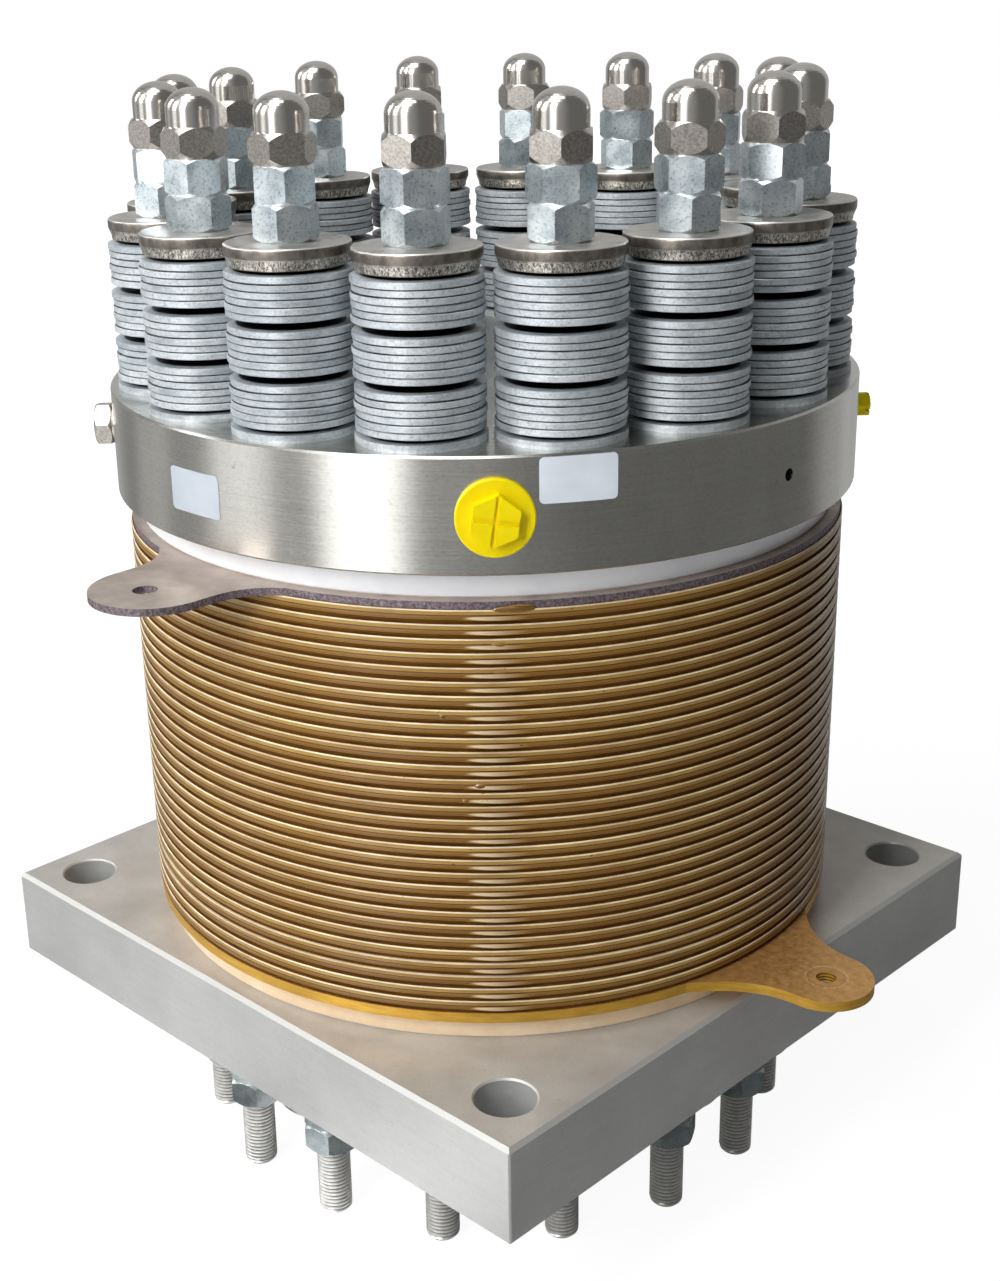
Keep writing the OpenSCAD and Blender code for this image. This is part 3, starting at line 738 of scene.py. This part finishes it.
@dataclass(frozen=True)
class SpringZinc:
    """Zinc-plated disc springs: grainy bright edges, and painted shade in dark seams between discs
    and in the clefts.
    """

    bottom: float
    group: float
    ring: float
    first: float
    step: float
    name: str = "zinc_discs"
    lead: float = 1.765 * MM
    thickness: float = 3.0033 * MM
    cleft: float = 23.2 * MM
    light: Colour = srgb(214, 220, 223)
    dark: Colour = srgb(166, 175, 181)
    grain: Colour = srgb(122, 130, 136)
    # Seam colour between discs: painted shade.
    seam_shade: Colour = srgb(52, 54, 54)
    cleft_shade: Colour = srgb(12, 14, 18)

    def material(self) -> bpy.types.Material:
        """Makes the material.

        The height within a group, less the lead below its lowest edge, over the step from disc
        to disc is whole where two edges meet: a dark seam of painted shade is drawn there. Points
        nearer to the rod than the cleft's radius lie between two cones and are painted dark as
        shade.
        """
        graph = Graph(self.name)
        x, y, z = graph.axes()
        level = graph.math("FLOORED_MODULO", graph.minus(z, self.bottom), self.group)
        disc = graph.over(graph.minus(level, self.lead), self.thickness)
        off = graph.math("ABSOLUTE", graph.minus(disc, graph.math("ROUND", disc)))
        within = graph.window(disc, (0.4, 0.6), (5.4, 5.6))
        # Painted shade in the seams where two discs meet.
        seam_shade = graph.times(within, graph.span(off, 0.04, 0.11, 1.0, 0.0))
        fading = graph.span(graph.noise(95.0, 3.0, 0.6), 0.32, 0.55, 0.55, 1.0)
        seam_shade = graph.times(seam_shade, fading)
        shelf = graph.scaled((x, 40.0), (y, 40.0), (graph.math("FLOOR", disc), 5.3))
        slow = graph.noise(1.0, 2.0, 0.5, shelf)
        quick = graph.noise(Grain.DISC_SIDES, 5.0, 0.7, warp=0.4)
        tone = graph.plus(graph.times(slow, 0.55), graph.times(quick, 0.45))
        base = graph.ramp(tone, [(0.36, self.dark), (0.6, self.light)])
        sand = graph.noise(820.0, 4.0, 0.75, warp=0.8)
        base = graph.mix(graph.span(sand, 0.5, 0.68, 0.0, 0.6), base, self.grain)
        base = graph.mix(seam_shade, base, self.seam_shade)
        away = graph.from_rod(self.ring, self.first, self.step)
        # Painted shade in the clefts between the cones.
        cleft = graph.span(away, self.cleft - 1.2 * MM, self.cleft, 1.0, 0.0)
        graph.colour(graph.mix(cleft, base, self.cleft_shade))
        graph.constants(Metallic=0.35)
        graph.roughness(tone, 0.36, 0.5)
        graph.bump(sand, 0.00005, 0.6)
        return graph.material


@dataclass(frozen=True)
class TornSteel:
    """Punched washers: satin top, dark smooth band, bright scratches where the metal tore."""

    name: str = "punched_steel"
    top: Colour = srgb(202, 199, 194)
    top_dark: Colour = srgb(158, 154, 149)
    band: Colour = srgb(138, 131, 123)
    band_dark: Colour = srgb(100, 94, 87)
    scar: Colour = srgb(224, 220, 212)
    scar_dark: Colour = srgb(96, 90, 82)
    # Rolled edge colour: a painted highlight.
    lip_highlight: Colour = srgb(226, 224, 218)

    def material(self) -> bpy.types.Material:
        """Makes the material: the attribute "depth" is above 0 where the metal tore."""
        graph = Graph(self.name)
        clouds = graph.noise(110.0, 5.0, 0.65, warp=0.5)
        top = graph.ramp(clouds, [(0.32, self.top_dark), (0.66, self.top)])
        streaks = graph.noise(Grain.PUNCHED_BAND, 4.0, 0.6)
        side = graph.ramp(streaks, [(0.35, self.band_dark), (0.66, self.band)])
        facing = graph.facing()
        base = graph.mix(graph.span(facing, 0.3, 0.8), side, top)
        # Pale rolled upper edge: a painted highlight.
        lip_highlight = graph.window(facing, (0.3, 0.5), (0.8, 0.97), 0.8)
        base = graph.mix(lip_highlight, base, self.lip_highlight)
        zone = graph.span(graph.depth(), 0.1, 0.4)
        tears = graph.noise(Grain.TORN_METAL, 4.0, 0.75, warp=0.9)
        scar = graph.ramp(tears, [(0.44, self.scar_dark), (0.58, self.scar)])
        graph.colour(graph.mix(zone, base, scar))
        graph.constants(Metallic=0.75)
        graph.roughness(clouds, 0.26, 0.42)
        graph.bump(tears, 0.00012, 0.5)
        return graph.material


@dataclass(frozen=True)
class NickelCap:
    """Cap nuts: polished dome over satin flats with a sandy grain."""

    hexagon_top: float
    name: str = "polished_nickel"
    dome: Colour = srgb(212, 208, 202)
    flats: Colour = srgb(202, 198, 192)
    grain: Colour = srgb(160, 153, 145)
    stain: Colour = srgb(112, 100, 88)

    def material(self) -> bpy.types.Material:
        """Makes the material: height and slope part the polished dome from the satin flats."""
        graph = Graph(self.name)
        z = graph.axes()[2]
        upper = graph.span(z, self.hexagon_top - 3 * MM, self.hexagon_top - MM)
        slope = graph.span(graph.facing(), 0.02, 0.12)
        above = graph.span(z, self.hexagon_top - 0.3 * MM, self.hexagon_top)
        dome = graph.math("MAXIMUM", above, graph.times(upper, slope))
        sand = graph.noise(1000.0, 4.0, 0.75)
        flats = graph.ramp(sand, [(0.38, self.grain), (0.62, self.flats)])
        blots = graph.span(graph.noise(300.0, 5.0, 0.7), 0.6, 0.74, 0.0, 0.6)
        flats = graph.mix(blots, flats, self.stain)
        spots = graph.span(graph.noise(900.0, 3.0, 0.7), 0.6, 0.74, 0.0, 0.6)
        polished = graph.mix(spots, self.dome, self.grain)
        graph.colour(graph.mix(dome, flats, polished))
        graph.constants(Metallic=1.0)
        graph.drive("Roughness", graph.span(dome, 0.0, 1.0, 0.32, 0.17))
        graph.bump(graph.noise(260.0, 4.0, 0.6), 0.00004, 0.5)
        return graph.material


@dataclass(frozen=True)
class RodSteel:
    """Tie rods: grey rolled thread, with painted shade in its roots."""

    name: str = "rolled_steel"
    crest: Colour = srgb(226, 225, 223)
    # Root colour: painted shade.
    root: Colour = srgb(146, 145, 142)
    stain: Colour = srgb(190, 187, 182)

    def material(self) -> bpy.types.Material:
        """Makes the material: the attribute "depth" is 1 in the thread's root, where the root
        colour paints shade.
        """
        graph = Graph(self.name)
        clouds = graph.noise(300.0, 4.0, 0.65)
        crest = graph.mix(graph.span(clouds, 0.42, 0.66, 0.0, 0.7), self.crest, self.stain)
        # Painted shade in the thread's roots.
        graph.colour(graph.mix(graph.span(graph.depth(), 0.2, 1.0), crest, self.root))
        graph.constants(Metallic=0.6)
        graph.roughness(clouds, 0.3, 0.5)
        graph.bump(graph.noise(1800.0, 3.0), 0.00004, 0.5)
        return graph.material


@dataclass(frozen=True)
class PrintFilm:
    """Bare adhesive label: pale film with a faint sheen and scuffs."""

    name: str
    film: Colour
    shade: Colour

    def material(self) -> bpy.types.Material:
        """Makes the material: slow waves of the film and a few scuffs."""
        graph = Graph(self.name)
        clouds = graph.noise(60.0, 3.0, 0.5)
        scuffs = graph.span(graph.noise(Grain.FILM_SCUFFS, 4.0, 0.7), 0.64, 0.78, 0.0, 0.4)
        base = graph.ramp(clouds, [(0.3, self.shade), (0.65, self.film)])
        graph.colour(graph.mix(scuffs, base, self.shade))
        graph.constants(Coat_Weight=0.25, Coat_Roughness=0.2)
        graph.roughness(clouds, 0.34, 0.46)
        graph.bump(clouds, 0.0001, 0.4)
        return graph.material


# Sub-assemblies


@dataclass
class RodCircle:
    """Where the tie rods stand."""

    rods: int = 16
    radius: float = 144 * MM
    first: float = -123.75

    def centres(self) -> np.ndarray:
        """The rods' axes as an array of shape (rods, 2)."""
        turn = np.radians(self.first + np.arange(self.rods) * 360 / self.rods)
        return self.radius * np.stack([np.cos(turn), np.sin(turn)], axis=-1)


def turned(
    centres: np.ndarray, radius: np.ndarray, height: np.ndarray, columns: int
) -> np.ndarray:
    """Carries profiles round upright axes.

    Args:
        centres: Axes, of shape (copies, 2).
        radius: Radii, broadcast to (copies, rows, columns).
        height: Heights, broadcast to the same shape.
        columns: Points round each axis. The last lies on the first.

    Returns:
        Grid of shape (copies, rows, columns, 3): the axis plus radius times (cos, sin) of the
        angle, and the height.
    """
    angle = np.linspace(0, 2 * np.pi, columns)
    shape = np.broadcast_shapes(radius.shape, height.shape, (len(centres), 1, columns))
    x = centres[:, 0, None, None] + radius * np.cos(angle)
    y = centres[:, 1, None, None] + radius * np.sin(angle)
    return np.stack([np.broadcast_to(v, shape) for v in (x, y, height)], axis=-1)


@dataclass
class ThreadedRods:
    """Tie rods with a rolled thread below the lowest nuts and rounded lower ends."""

    circle: RodCircle
    radius: float = 8 * MM
    pitch: float = 2 * MM
    depth: float = 1.15 * MM
    rounding: float = 3.2 * MM
    thread_top: float = -34 * MM
    columns: int = 33

    def build(self, material: bpy.types.Material) -> bpy.types.Object:
        """Makes the rods as one piece that stands for the plain ones.

        Each row of points climbs by one pitch round the rod, so crests and roots stay sharp.
        The radius is the thread's, but no more than the rounded end allows at that height, and
        the thread fades out over its last two millimetres.
        """
        low, high = (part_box("tie_rods")[i].z for i in (0, 1))
        turns = math.ceil((self.thread_top - low) / self.pitch) + 1
        phases = np.array([0.0, 0.14, 0.52, 0.64])
        dips = np.array([0.0, 0.0, 1.0, 1.0])
        climb = (np.arange(-1, turns)[:, None] + phases).ravel() * self.pitch + low
        dip = np.tile(dips, turns + 1)
        angle = np.linspace(0, 2 * np.pi, self.columns)
        z = np.clip(climb[:, None] + self.pitch * angle / (2 * np.pi), low, self.thread_top)
        fade = np.clip((self.thread_top - z) / self.pitch, 0, 1)
        thread = self.radius - self.depth * dip[:, None] * fade
        lift = np.clip(1 - (z - low) / self.rounding, 0, 1)
        end = self.radius - self.rounding * (1 - np.sqrt(np.clip(1 - lift**2, 0, 1)))
        flat = np.zeros((1, self.columns))
        radius = np.vstack(
            [flat, np.minimum(thread, end), flat + self.radius, flat + self.radius - MM, flat]
        )
        height = np.vstack([flat + low, z, flat + high - MM, flat + high, flat + high])
        # Depth into the thread, which the rod finish paints as shade in the roots.
        depth = np.vstack([flat, (self.radius - thread) / self.depth, flat, flat, flat])
        points = turned(self.circle.centres(), radius[None], height[None], self.columns)
        values = np.broadcast_to(depth[None], points.shape[:3])
        made = piece("threaded_rods", points, 50.0, values)
        dress(made, material)
        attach(made, "root")
        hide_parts("tie_rods")
        return made


@dataclass
class PunchedWashers:
    """Thick washers with a rolled upper edge, a smooth band and a torn lower zone."""

    circle: RodCircle
    node: str
    slot: str
    seed: int
    radius: float = 26 * MM
    bore: float = 8.75 * MM
    taper: float = 1.1 * MM
    tear: float = 0.8 * MM
    columns: int = 97

    def build(self, material: bpy.types.Material) -> bpy.types.Object:
        """Makes the washers as one piece. The torn zone is pressed in by random heights."""
        low, high = (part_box(self.node)[i].z for i in (0, 1))
        t = high - low
        share = np.linspace(0.05, 0.55, 8)
        torn_r = self.radius - self.taper * (1 - (share - 0.05) / 0.5)
        profile_r = np.concatenate(
            [
                [self.bore, self.radius - self.taper - 0.4 * MM],
                torn_r,
                [self.radius, self.radius - 0.12 * MM, self.radius - 0.5 * MM],
                [self.radius - 1.2 * MM, self.bore, self.bore],
            ]
        )
        profile_z = np.concatenate(
            [
                [0, 0],
                share * t,
                [t - 1.2 * MM, t - 0.6 * MM, t - 0.2 * MM],
                [t, t, 0],
            ]
        )
        rows = len(profile_r)
        rough = ragged(self.seed, (self.circle.rods, rows, self.columns), 1)
        slow = ragged(self.seed + 1, (self.circle.rods, 1, self.columns), 6)
        weight = np.zeros(rows)
        weight[2:9] = [0.7, 1.0, 1.0, 0.9, 0.75, 0.5, 0.25]
        inward = self.tear * weight[None, :, None] * (0.45 * rough + 0.55 * slow)
        radius = profile_r[None, :, None] - inward
        height = low + profile_z[None, :, None] + np.zeros((1, 1, self.columns))
        points = turned(self.circle.centres(), radius, height, self.columns)
        values = np.broadcast_to(weight[None, :, None], points.shape[:3]) * (0.35 + 0.65 * rough)
        made = piece(f"punched_{self.node}", points, 40.0, values)
        dress(made, material)
        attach(made, "root")
        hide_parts(self.node)
        return made


@dataclass
class RimLabel:
    """Bare label with rounded corners, wrapped on the end plate's rim."""

    name: str
    angle: float
    height: float
    width: float = 31.6 * MM
    tall: float = 18.7 * MM
    corner: float = 2 * MM
    film: float = 0.16 * MM
    rim: float = 175 * MM

    def build(self, material: bpy.types.Material) -> bpy.types.Object:
        """Makes the label.

        Rows run up the label and columns across its front and back again. Half the width at a
        height is the label's own less the corner circle's sagitta. The end rows close the film.
        """
        half = self.tall / 2
        rows = np.concatenate(
            [
                [-half],
                -half + self.corner * (1 - np.cos(np.linspace(0, np.pi / 2, 7))),
                np.linspace(-half + self.corner, half - self.corner, 7)[1:-1],
                half - self.corner * (1 - np.cos(np.linspace(np.pi / 2, 0, 7))),
                [half],
            ]
        )
        into = np.clip(np.abs(rows) - (half - self.corner), 0, self.corner)
        reach = self.width / 2 - self.corner + np.sqrt(self.corner**2 - into**2)
        across = np.linspace(-1, 1, 25)
        across = np.concatenate([across, across[::-1], across[:1]])
        front = np.concatenate([np.ones(25), np.zeros(25), np.ones(1)])
        lift = np.full((len(rows), 1), self.film)
        lift[[0, -1]] = 0
        radius = self.rim + lift * front[None, :]
        turn = math.radians(self.angle) + reach[:, None] * across[None, :] / self.rim
        z = self.height + rows[:, None] + np.zeros_like(turn)
        points = np.stack([radius * np.cos(turn), radius * np.sin(turn), z], axis=-1)
        made = piece(self.name, points[None], 30.0)
        dress(made, material)
        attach(made, "root")
        return made


@dataclass
class ResinDrips:
    """Beads of resin that stand on the upper frames' rims beside the moulding pads.

    Each bead is (frame counted from the top, height in it, angle, half width, half height), the
    lengths in mm and the angle in degrees.
    """

    top: float
    pitch: float
    rim: float = 170.5 * MM
    beads: tuple[tuple[float, float, float, float, float], ...] = (
        (0, 6.3, -42.6, 8.6, 1.5),
        (0, 7.2, -41.6, 5.2, 1.2),
        (2, 3.3, -44.6, 4.0, 1.4),
        (2, 2.9, -46.4, 1.3, 0.8),
        (4, 3.1, -44.6, 3.2, 1.3),
        (12, 3.2, -47.4, 2.8, 1.4),
        (13, 2.7, -49.6, 1.5, 0.9),
        (9, 2.6, -41.9, 1.6, 0.8),
        (7, 3.3, -52.6, 1.4, 0.9),
    )

    def build(self, material: bpy.types.Material) -> bpy.types.Object:
        """Makes the beads: ovals bent round the rim, their middles a little inside it."""
        side = np.linspace(0, 2 * np.pi, 25)
        up = np.linspace(-np.pi / 2, np.pi / 2, 13)
        grids = []
        for layer, rise, angle, half, tall in self.beads:
            wide = half * MM * np.cos(up)[:, None] * np.sin(side)
            turn = math.radians(angle) + wide / self.rim
            out = self.rim - 0.1 * MM + 0.5 * tall * MM * np.cos(up)[:, None] * np.cos(side)
            z = self.top - (layer + 1) * self.pitch + rise * MM + tall * MM * np.sin(up)[:, None]
            x, y = out * np.cos(turn), out * np.sin(turn)
            grids.append(np.stack([x, y, np.broadcast_to(z, x.shape)], axis=-1))
        made = piece("resin_drips", np.stack(grids), 60.0)
        dress(made, material)
        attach(made, "root")
        return made


@dataclass(frozen=True)
class Lamp:
    """A soft oblong lamp: direction from the stack, distance, width and height, and power."""

    name: str
    azimuth: float
    elevation: float
    distance: float
    size: tuple[float, float]
    power: float

    def build(self, aim: Vector) -> bpy.types.Object:
        """Makes the lamp, upright and facing the aim."""
        turn, rise = math.radians(self.azimuth), math.radians(self.elevation)
        away = Vector(
            (math.cos(turn) * math.cos(rise), math.sin(turn) * math.cos(rise), math.sin(rise))
        )
        data = bpy.data.lights.new(self.name, "AREA")
        data.shape = "RECTANGLE"
        data.size, data.size_y = self.size
        data.energy = self.power
        lamp = bpy.data.objects.new(self.name, data)
        lamp.location = aim + away * self.distance
        lamp.rotation_euler = (-away).to_track_quat("-Z", "Y").to_euler()
        bpy.context.scene.collection.objects.link(lamp)
        return lamp


@dataclass(frozen=True)
class Card:
    """An upright pale card that only gloss sees.

    It has a direction, the half widths of its brightest and of its whole, in degrees, and a
    level.
    """

    azimuth: float
    core: float
    edge: float
    level: float


@dataclass
class Studio:
    """Camera at the photograph's place, pale floor, soft lamps and a white surround."""

    place: tuple[float, float, float] = (0.5887, -0.6182, 0.4890)
    azimuth: float = 46.0
    elevation: float = 19.8
    roll: float = -1.7
    focal: float = 1812.71 / 1281
    shift: tuple[float, float] = (0.0669, -0.01443)
    floor_z: float = -76.1 * MM
    ambient: float = 0.08
    gloss: float = 0.17
    paper: float = 0.86
    paper_glow: float = 1.14
    near: float = 0.45
    far: float = 1.6
    near_share: float = 0.82
    lamps: tuple[Lamp, ...] = (
        Lamp("key", -79.0, 30.0, 2.2, (0.5, 1.5), 29.0),
        Lamp("side", -116.0, 24.0, 2.2, (0.35, 1.3), 14.0),
        Lamp("rear_side", -152.0, 24.0, 2.2, (0.35, 1.2), 7.0),
        Lamp("top", -90.0, 72.0, 2.4, (1.3, 1.3), 17.0),
    )
    cards: tuple[Card, ...] = (
        Card(-80.0, 4.0, 16.0, 1.8),
        Card(-119.0, 4.0, 14.0, 0.8),
        Card(-160.0, 4.0, 15.0, 0.3),
        Card(-95.0, 20.0, 85.0, 0.22),
        Card(134.0, 10.0, 60.0, 0.35),
        Card(80.0, 4.0, 20.0, 0.25),
    )

    def camera(self) -> bpy.types.Object:
        """Makes the camera. Its axes are right, up and back, turned by the roll."""
        az, el, roll = (math.radians(v) for v in (self.azimuth, self.elevation, self.roll))
        back = Vector((math.sin(az) * math.cos(el), -math.cos(az) * math.cos(el), math.sin(el)))
        level = Vector((math.cos(az), math.sin(az), 0))
        above = back.cross(level)
        right = math.cos(roll) * level + math.sin(roll) * above
        up = -math.sin(roll) * level + math.cos(roll) * above
        data = bpy.data.cameras.new("view")
        data.sensor_fit = "AUTO"
        data.sensor_width = 36.0
        data.lens = 36.0 * self.focal
        data.shift_x, data.shift_y = self.shift
        data.clip_start, data.clip_end = 0.05, 50.0
        camera = bpy.data.objects.new("view", data)
        turn = Matrix((right, up, back)).transposed().to_4x4()
        camera.matrix_world = Matrix.Translation(Vector(self.place)) @ turn
        bpy.context.scene.collection.objects.link(camera)
        bpy.context.scene.camera = camera
        return camera

    def lights(self) -> None:
        """Makes the soft lamps, which face the middle of the stack."""
        for lamp in self.lamps:
            lamp.build(Vector((0, 0, 0.2)))

    def glow(self, nodes: Nodes, direction: Socket) -> Socket:
        """Makes the level that gloss sees in a direction.

        The direction is laid level. Each card adds its level times a smooth step of the cosine
        between the direction and the card's, from its edge to its core.

        Args:
            nodes: The node tree to make it in.
            direction: The direction, of any length.

        Returns:
            The level's socket.
        """
        unit = nodes.vector("NORMALIZE", nodes.vector("MULTIPLY", direction, (1.0, 1.0, 0.0)))
        total: Socket | float = self.gloss
        for card in self.cards:
            az, core, edge = (math.radians(v) for v in (card.azimuth, card.core, card.edge))
            dot = nodes.vector("DOT_PRODUCT", unit, (math.cos(az), math.sin(az), 0.0))
            step = nodes.span(dot, math.cos(edge), math.cos(core), 0.0, card.level)
            total = nodes.plus(total, step)
        return total

    def by_ray(
        self, nodes: Nodes, plain: Socket, gloss: Socket, white: Socket, share: Socket | float
    ) -> Socket:
        """Joins three shaders: gloss for rays of gloss, white for the camera's and glass's.

        Args:
            nodes: The node tree to make it in.
            plain: Shader for all other rays.
            gloss: Shader for rays of gloss.
            white: Shader for rays of the camera and of glass.
            share: Share of the white in what those see.

        Returns:
            The joined shader.
        """
        rays = nodes.add("ShaderNodeLightPath").outputs
        shiny = nodes.blend(rays["Is Glossy Ray"], plain, gloss)
        seen = nodes.math("MAXIMUM", rays["Is Camera Ray"], rays["Is Transmission Ray"])
        return nodes.blend(nodes.times(seen, share), shiny, white)

    def world(self) -> None:
        """Makes the surround: white where it is seen, cards in gloss, a plain level as light."""
        world = bpy.data.worlds.new("surround")
        world.use_nodes = True
        nodes = Nodes(world.node_tree)
        plain = nodes.tree.nodes["Background"]
        cards = nodes.add("ShaderNodeBackground")
        white = nodes.add("ShaderNodeBackground")
        for node, strength in ((plain, self.ambient), (cards, 1.0), (white, 1.0)):
            node.inputs["Color"].default_value = (1, 1, 1, 1)
            node.inputs["Strength"].default_value = strength
        direction = nodes.add("ShaderNodeTexCoord").outputs["Generated"]
        nodes.join(self.glow(nodes, direction), cards.inputs["Strength"])
        joined = self.by_ray(nodes, plain.outputs[0], cards.outputs[0], white.outputs[0], 1.0)
        nodes.join(joined, nodes.tree.nodes["World Output"].inputs["Surface"])
        bpy.context.scene.world = world

    def floor(self) -> bpy.types.Object:
        """Makes the floor: a wide level disc under the stack, shaded near it and white far off."""
        radius = np.array([0.0, 0.5, 1.2, 3.0, 6.0])[:, None]
        height = np.full_like(radius, self.floor_z)
        grid = turned(np.zeros((1, 2)), radius[::-1][None], height[None], 65)
        made = piece("studio_floor", grid, 60.0)
        material = bpy.data.materials.new("floor_paper")
        material.use_nodes = True
        nodes = Nodes(material.node_tree)
        nodes.tree.nodes.remove(nodes.tree.nodes["Principled BSDF"])
        matte = nodes.add("ShaderNodeBsdfDiffuse")
        matte.inputs["Color"].default_value = (self.paper, self.paper, self.paper, 1)
        white = nodes.add("ShaderNodeEmission")
        white.inputs["Strength"].default_value = self.paper_glow
        cards = nodes.add("ShaderNodeEmission")
        point = nodes.add("ShaderNodeTexCoord").outputs["Object"]
        nodes.join(self.glow(nodes, point), cards.inputs["Strength"])
        share = nodes.span(nodes.vector("LENGTH", point), self.near, self.far, self.near_share, 1.0)
        joined = self.by_ray(nodes, matte.outputs[0], cards.outputs[0], white.outputs[0], share)
        nodes.join(joined, nodes.tree.nodes["Material Output"].inputs["Surface"])
        dress(made, material)
        return made

    def build(self) -> None:
        """Makes the whole studio and sets the plain view transform."""
        self.camera()
        self.lights()
        self.world()
        self.floor()
        bpy.context.scene.view_settings.view_transform = "Standard"


@dataclass
class Stack:
    """The stack's own pieces and the finish of each of its nodes."""

    circle: RodCircle = field(default_factory=RodCircle)
    bottom: float = 61.3 * MM
    top: float = 247.3 * MM
    pitch: float = 6.2 * MM
    ear_hole: float = 206 * MM
    cap_hexagon: float = 12.6 * MM

    def finishes(self) -> dict[str, bpy.types.Material]:
        """Makes the finish of each material slot."""
        springs = [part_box(f"disc_springs_{name}")[0].z for name in ("lower", "middle")]
        circle = self.circle
        made = {
            "base_aluminium": PlateMetal(),
            "cream_insulator": MouldedPlastic(
                "cream_board", srgb(250, 228, 196), srgb(236, 206, 166), srgb(255, 250, 240)
            ),
            "white_insulator": MouldedPlastic(
                "white_board", srgb(252, 253, 255), srgb(242, 244, 249), srgb(255, 255, 255)
            ),
            "gilt_collector": GiltPlate(self.ear_hole),
            "titanium": CutPlate(),
            "stainless": TurnedSteel(),
            "amber_frame": AmberResin(self.bottom, self.pitch),
            "membrane": MouldedPlastic(
                "ion_film", srgb(150, 96, 52), srgb(120, 70, 34), srgb(160, 110, 64)
            ),
            "carbon_layer": ZincCoat(
                "carbon_felt", srgb(58, 58, 60), srgb(30, 30, 32), srgb(70, 70, 72), 0.1, (0.6, 0.8)
            ),
            "seal_rubber": MouldedPlastic(
                "seal_rubber", srgb(52, 54, 56), srgb(34, 36, 38), srgb(70, 72, 74), (0.5, 0.7)
            ),
            "sleeve_plastic": MouldedPlastic(
                "sleeve_plastic", srgb(236, 230, 214), srgb(214, 206, 188), srgb(246, 242, 232)
            ),
            "rod_steel": RodSteel(),
            "zinc_steel": SpringZinc(
                springs[0],
                springs[1] - springs[0],
                circle.radius,
                math.radians(circle.first),
                2 * math.pi / circle.rods,
            ),
            "zinc_nut": ZincCoat(
                "blue_zinc",
                srgb(226, 233, 235),
                srgb(192, 205, 211),
                srgb(238, 242, 244),
                0.85,
                (0.24, 0.36),
            ),
            "raw_steel": TornSteel(),
            "nickel_cap": NickelCap(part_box("cap_nuts")[0].z + self.cap_hexagon),
            "yellow_plastic": MouldedPlastic(
                "yellow_cap",
                srgb(248, 226, 0),
                srgb(242, 217, 0),
                srgb(252, 232, 4),
                (0.3, 0.4),
                sheen=0.15,
            ),
            # Dark brown for the separators: painted shade in the recess between the frames.
            "separator_shade": MouldedPlastic(
                "separator_shade",
                srgb(112, 76, 34),
                srgb(76, 48, 18),
                srgb(120, 84, 40),
                (0.6, 0.75),
                sheen=0.0,
            ),
            # Darker zinc for the steel under the base plate: painted shade from the plate.
            "shaded_zinc": ZincCoat(
                "shaded_zinc",
                srgb(160, 168, 168),
                srgb(124, 134, 136),
                srgb(206, 212, 212),
                0.85,
                (0.22, 0.34),
            ),
            "resin_bead": MouldedPlastic(
                "resin_bead",
                srgb(132, 92, 34),
                srgb(92, 60, 18),
                srgb(160, 120, 56),
                (0.1, 0.18),
                coat=0.6,
                glow=0.1,
            ),
        }
        return {slot: finish.material() for slot, finish in made.items()}

    def build(self) -> list[bpy.types.Object]:
        """Dresses every node and makes the pieces that the nodes don't have.

        Separator plates and the steel under the base plate take darker finishes than their slots:
        painted shade, for the recess between the frames and for the base plate's shadow.

        Returns:
            The new pieces.
        """
        finishes = self.finishes()
        slots = node_slots()
        # Painted shade: separators and the steel under the base plate take darker finishes.
        slots["separator_plates"] = "separator_shade"
        for name in ("base_nuts", "base_lock_nuts", "base_flat_washers", "base_thick_washers"):
            slots[name] = "shaded_zinc"
        for name, node in frame["nodes"].items():
            dress(node, finishes[slots[name]])
        LOG.info("dressed %d nodes with %d finishes", len(slots), len(finishes))
        # One film on both labels: the inlet label's copy is painted paler than the negative
        # label's, to offset the shade on its side.
        pale = PrintFilm("pale_film", srgb(238, 246, 255), srgb(226, 234, 244)).material()
        grey = PrintFilm("grey_film", srgb(192, 200, 210), srgb(180, 188, 198)).material()
        upper = PunchedWashers(self.circle, "thick_washers", "raw_steel", 11)
        lower = PunchedWashers(self.circle, "base_thick_washers", "zinc_steel", 29, tear=0.35 * MM)
        return [
            ThreadedRods(self.circle).build(finishes["rod_steel"]),
            upper.build(finishes["raw_steel"]),
            lower.build(finishes["shaded_zinc"]),
            RimLabel("inlet_label", -34.15, 0.30125).build(pale),
            RimLabel("negative_label", -90.1, 0.2859).build(grey),
            ResinDrips(self.top, self.pitch).build(finishes["resin_bead"]),
        ]


def node_slots() -> dict[str, str]:
    """Which material slot each node has in the record.

    Returns:
        The slot's name by the node's.
    """
    return {part["node"]: part["material_slot"] for part in frame["record"]["subparts"]}


def main() -> None:
    """Builds the studio and the stack, and reports each piece."""
    logging.basicConfig(level=logging.INFO, format="%(message)s")
    Studio().build()
    for made in Stack().build():
        mesh = made.data
        LOG.info("%s: %d vertices, %d faces", made.name, len(mesh.vertices), len(mesh.polygons))


if __name__ == "__main__":
    main()
